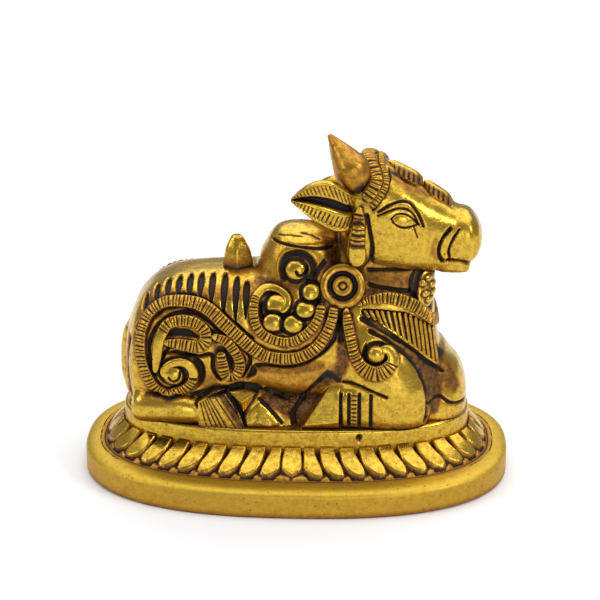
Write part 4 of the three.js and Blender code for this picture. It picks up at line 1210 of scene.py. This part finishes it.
def base():
    angle, distance, length = even_angles(QUARTER_POINTS)
    rings, shades = [], []

    def ring(half, grown, z, dirt_and_shade=0.0):
        flat = oval(half, grown, angle)
        rings.append(np.column_stack([flat, np.broadcast_to(z, len(flat))]))
        shades.append(np.broadcast_to(dirt_and_shade, len(flat)))

    def rounded_edge(half, wide, top, tall, steps):
        for turn in np.linspace(0, np.pi / 2, steps)[1:]:
            ring(half, wide * (np.cos(turn) - 1), top - tall * (1 - np.sin(turn)))

    # The slab, and its groove round the petals
    ring(SLAB_HALF, -FOOT_BEVEL, 0, 0.6)
    ring(SLAB_HALF, 0, FOOT_BEVEL, 0.3)
    for z in np.linspace(FOOT_BEVEL, SLAB_HEIGHT - SLAB_EDGE_RADIUS, 5)[1:]:
        ring(SLAB_HALF, 0, z, 0.12)
    rounded_edge(SLAB_HALF, SLAB_EDGE_WIDE, SLAB_HEIGHT, SLAB_EDGE_RADIUS, 9)
    for share in np.linspace(0, 1, 5)[1:-1]:
        half = [a + (b - a) * share for a, b in zip(SLAB_HALF, PETAL_HALF)]
        ring(half, -SLAB_EDGE_WIDE * (1 - share) + 1.2 * share, SLAB_HEIGHT)
    for grown, sunk, dirt_and_shade in SLAB_GROOVE:
        ring(PETAL_HALF, grown, SLAB_HEIGHT - sunk, dirt_and_shade)

    # The petals
    low = oval(PETAL_HALF, -FOOT_BEVEL, angle)
    high = oval(PLINTH_HALF, FOOT_BEVEL, angle)
    for share in np.linspace(0, 1, 38):
        height, dirt_and_shade = petal_relief(distance, np.full(len(angle), 1 - share), length)
        lift = SLAB_HEIGHT + PETAL_STEP + (PETAL_BAND_TOP - SLAB_HEIGHT - PETAL_STEP) * share
        flat = low + (high - low) * share
        rings.append(np.column_stack([flat, lift + height]))
        shades.append(dirt_and_shade)

    # The plinth, with its pit
    ring(PLINTH_HALF, 0.1, PETAL_BAND_TOP - 0.4, 1)
    side = oval(PLINTH_HALF, 0, angle)
    pit_x, pit_z, pit_radius, pit_depth = PLINTH_PIT
    for z in np.linspace(PETAL_BAND_TOP, PLINTH_TOP - PLINTH_EDGE_RADIUS, 12):
        off = np.hypot(side[:, 0] - pit_x, z - pit_z)
        pitted = rise((pit_radius - off) / 0.3 + 0.3) * (side[:, 1] < 0)
        foot = 0.5 * rise((PETAL_BAND_TOP + 0.8 - z) / 0.8)
        ring(PLINTH_HALF, -pit_depth * pitted, z, np.maximum(foot, pitted))
    rounded_edge(PLINTH_HALF, PLINTH_EDGE_RADIUS, PLINTH_TOP, PLINTH_EDGE_RADIUS, 6)
    for inset in (3, 8, 14):
        ring(PLINTH_HALF, -inset, PLINTH_TOP, 0.5)
    points, faces, dirt_and_shade = ring_body(rings, shades)
    return points - np.array([0, 0, PLINTH_TOP]), faces, dirt_and_shade


# Brass


# Base colour from clean brass to old polish and painted shade, by how thick they lie
BRASS_STOPS = [
    (0.0, (0.64, 0.43, 0.05)), (0.3, (0.42, 0.2, 0.02)), (0.55, (0.21, 0.085, 0.01)),
    (0.8, (0.04, 0.016, 0.004)), (1.0, (0.008, 0.005, 0.003)),
]


def brass_material():
    material = bpy.data.materials.new("brass")
    material.use_nodes = True
    nodes, links = material.node_tree.nodes, material.node_tree.links
    nodes.clear()

    def node(kind, **values):
        made = nodes.new(kind)
        for key, value in values.items():
            if hasattr(made, key):
                setattr(made, key, value)
            else:
                made.inputs[key.replace("_", " ")].default_value = value
        return made

    place = node("ShaderNodeTexCoord").outputs["Object"]

    def noise(scale, detail, rough, squash=(1, 1, 1)):
        mapping = node("ShaderNodeMapping")
        mapping.inputs["Scale"].default_value = squash
        links.new(place, mapping.inputs["Vector"])
        made = node("ShaderNodeTexNoise", Scale=scale, Detail=detail, Roughness=rough)
        links.new(mapping.outputs["Vector"], made.inputs["Vector"])
        return made.outputs["Fac"]

    def math_node(operation, a, b=0.0, c=0.0, clamp=False):
        made = nodes.new("ShaderNodeMath")
        made.operation = operation
        made.use_clamp = clamp
        for socket, value in zip(made.inputs, (a, b, c)):
            if isinstance(value, (int, float)):
                socket.default_value = value
            else:
                links.new(value, socket)
        return made.outputs[0]

    # The mesh's dirt, which carries painted shade as well as patina
    mesh_dirt_and_shade = node("ShaderNodeAttribute", attribute_name="dirt_and_shade").outputs["Fac"]
    mottle = noise(800, 6, 0.7)
    grit = noise(2600, 3, 0.7)
    brushed = noise(1400, 4, 0.75, (0.12, 0.6, 1))
    uneven = noise(320, 2, 0.5)

    # The slab is brushed, the rest polished
    height = node("ShaderNodeSeparateXYZ")
    links.new(place, height.inputs[0])
    on_slab = math_node("LESS_THAN", height.outputs["Z"], (SLAB_HEIGHT + 0.1) * MM)

    # Old polish left in the hollows and the painted shade, both from the mesh, and a thin uneven film
    # with specks on the open faces
    film = math_node("MULTIPLY_ADD", mottle, 1.2, -0.52, clamp=True)
    film = math_node("MULTIPLY", film, math_node("MULTIPLY_ADD", on_slab, -0.6, 1))
    specks = node("ShaderNodeTexVoronoi", Scale=700)
    links.new(place, specks.inputs["Vector"])
    speck = math_node("MULTIPLY_ADD", specks.outputs["Distance"], -7.0, 1.0, clamp=True)
    film = math_node("MULTIPLY_ADD", math_node("MULTIPLY", speck, mottle), 1.7, film)
    stirred = math_node("MULTIPLY_ADD", grit, 0.6, -0.3)
    stirred = math_node("MULTIPLY", stirred, math_node("ADD", mesh_dirt_and_shade, 0.25))
    tarnish_and_shade = math_node("ADD", math_node("ADD", mesh_dirt_and_shade, film), stirred, clamp=True)

    ramp = node("ShaderNodeValToRGB")
    for position, _ in BRASS_STOPS[1:-1]:
        ramp.color_ramp.elements.new(position)
    for element, (_, colour) in zip(ramp.color_ramp.elements, BRASS_STOPS):
        element.color = (*colour, 1)
    links.new(tarnish_and_shade, ramp.inputs["Fac"])

    shader = node("ShaderNodeBsdfPrincipled")
    links.new(ramp.outputs["Color"], shader.inputs["Base Color"])
    links.new(math_node("MULTIPLY_ADD", tarnish_and_shade, -0.55, 1.0), shader.inputs["Metallic"])
    roughness = math_node("MULTIPLY_ADD", on_slab, 0.26, 0.12)
    roughness = math_node("MULTIPLY_ADD", brushed, 0.22, roughness)
    roughness = math_node("MULTIPLY_ADD", tarnish_and_shade, 0.3, roughness, clamp=True)
    links.new(roughness, shader.inputs["Roughness"])

    pits = node("ShaderNodeTexVoronoi", Scale=520)
    links.new(place, pits.inputs["Vector"])
    pit = math_node("SUBTRACT", 0.1, pits.outputs["Distance"], clamp=True)
    skin = math_node("MULTIPLY_ADD", pit, -6.0, math_node("MULTIPLY", brushed, 0.5))
    rough_dirt = math_node("MULTIPLY_ADD", mesh_dirt_and_shade, 1.6, 0.12)
    skin = math_node("ADD", skin, math_node("MULTIPLY", grit, rough_dirt))
    skin = math_node("MULTIPLY_ADD", uneven, 2.4, skin)
    bump = node("ShaderNodeBump", Strength=0.6, Distance=0.0001)
    links.new(skin, bump.inputs["Height"])
    links.new(bump.outputs["Normal"], shader.inputs["Normal"])
    output = node("ShaderNodeOutputMaterial")
    links.new(shader.outputs["BSDF"], output.inputs["Surface"])
    return material


# Pieces


def placed(name, data):
    made = bpy.data.objects.new(name, data)
    bpy.context.scene.collection.objects.link(made)
    return made


def make_piece(name, shape, material):
    points, faces, dirt_and_shade = shape
    mesh = bpy.data.meshes.new(name)
    in_metres = (points + np.array([0, 0, PLINTH_TOP])) * MM
    mesh.from_pydata(in_metres.tolist(), [], faces.tolist())
    # The dirt attribute holds patina and painted shade together
    mesh.attributes.new("dirt_and_shade", "FLOAT", "POINT").data.foreach_set("value", dirt_and_shade.astype(np.float32))
    mesh.materials.append(material)
    mesh.shade_smooth()
    piece = placed(name, mesh)
    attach(piece, "root")
    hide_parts("nandi_figure")
    print(name, len(faces), "triangles")


def figure():
    brass = brass_material()
    shapes = {
        "lotus_base": base(),
        "bull_body": carved_skin(body_field, BODY_BOX, body_relief),
        "bull_head": carved_skin(head_field, HEAD_BOX, face_relief),
        "carved_bands": flank_bands(),
        "collar": joined([collar(), fringe()]),
        "head_bands": head_bands(),
        "nose_ornament": joined([ridge(stations) for stations in RIDGES]),
        "horns": joined([horn(NEAR_HORN), horn(FAR_HORN)]),
        "ears": joined([ear(NEAR_EAR), ear(FAR_EAR)]),
        "shoulder_rosettes": both_sides([rosette()]),
        "back_finial": finial(),
    }
    for name, shape in shapes.items():
        make_piece(name, shape, brass)


# Camera, light and floor

CAMERA_TARGET = Vector((0.9, 0, 41.6)) * MM
CAMERA_DISTANCE = 480 * MM
CAMERA_TURN = np.radians(2.5)
CAMERA_RISE = np.radians(22)
CAMERA_LENS = 121.6


def camera():
    data = bpy.data.cameras.new("camera")
    data.lens = CAMERA_LENS
    data.sensor_width = 36
    data.clip_start = 0.01
    made = placed("camera", data)
    level = np.cos(CAMERA_RISE)
    back = Vector((np.sin(CAMERA_TURN) * level, -np.cos(CAMERA_TURN) * level, np.sin(CAMERA_RISE)))
    made.location = CAMERA_TARGET + back * CAMERA_DISTANCE
    made.rotation_euler = back.to_track_quat("Z", "Y").to_euler()
    bpy.context.scene.camera = made


# Area lights: place and aim in metres, size, then watts
LIGHTS = [
    ("top_light", (0.1, 0.5, 1.2), (0, 0.2, 0), 2.2, 24.5),
    ("right_light", (0.9, -0.5, 0.7), (0, 0, 0.03), 0.3, 3.6),
    ("left_light", (-0.9, -0.3, 0.6), (0, 0, 0.03), 0.5, 2),
    ("front_light", (0.3, -1.2, 0.25), (0, 0, 0.03), 0.5, 2.1),
]
ROOM_COLOUR = (0.94, 0.95, 1, 1)
ROOM_STRENGTH = 0.34
FLOOR_COLOUR = (0.93, 0.93, 0.94, 1)
FLOOR_HALF = 3     # metres


def lights():
    for name, place, aim, size, watts in LIGHTS:
        data = bpy.data.lights.new(name, "AREA")
        data.size = size
        data.energy = watts
        light = placed(name, data)
        light.location = place
        light.rotation_euler = (Vector(place) - Vector(aim)).to_track_quat("Z", "Y").to_euler()
    world = bpy.data.worlds.new("studio")
    world.use_nodes = True
    background = world.node_tree.nodes["Background"]
    background.inputs["Color"].default_value = ROOM_COLOUR
    background.inputs["Strength"].default_value = ROOM_STRENGTH
    bpy.context.scene.world = world
    view = bpy.context.scene.view_settings
    view.view_transform = "Standard"
    view.look = "None"


def floor():
    mesh = bpy.data.meshes.new("floor")
    corners = [(x * FLOOR_HALF, y * FLOOR_HALF, 0) for x, y in [(-1, -1), (1, -1), (1, 1), (-1, 1)]]
    mesh.from_pydata(corners, [], [(0, 1, 2, 3)])
    material = bpy.data.materials.new("floor_paper")
    material.use_nodes = True
    shader = material.node_tree.nodes["Principled BSDF"]
    shader.inputs["Base Color"].default_value = FLOOR_COLOUR
    shader.inputs["Roughness"].default_value = 0.9
    mesh.materials.append(material)
    made = placed("floor", mesh)


figure()
camera()
lights()
floor()
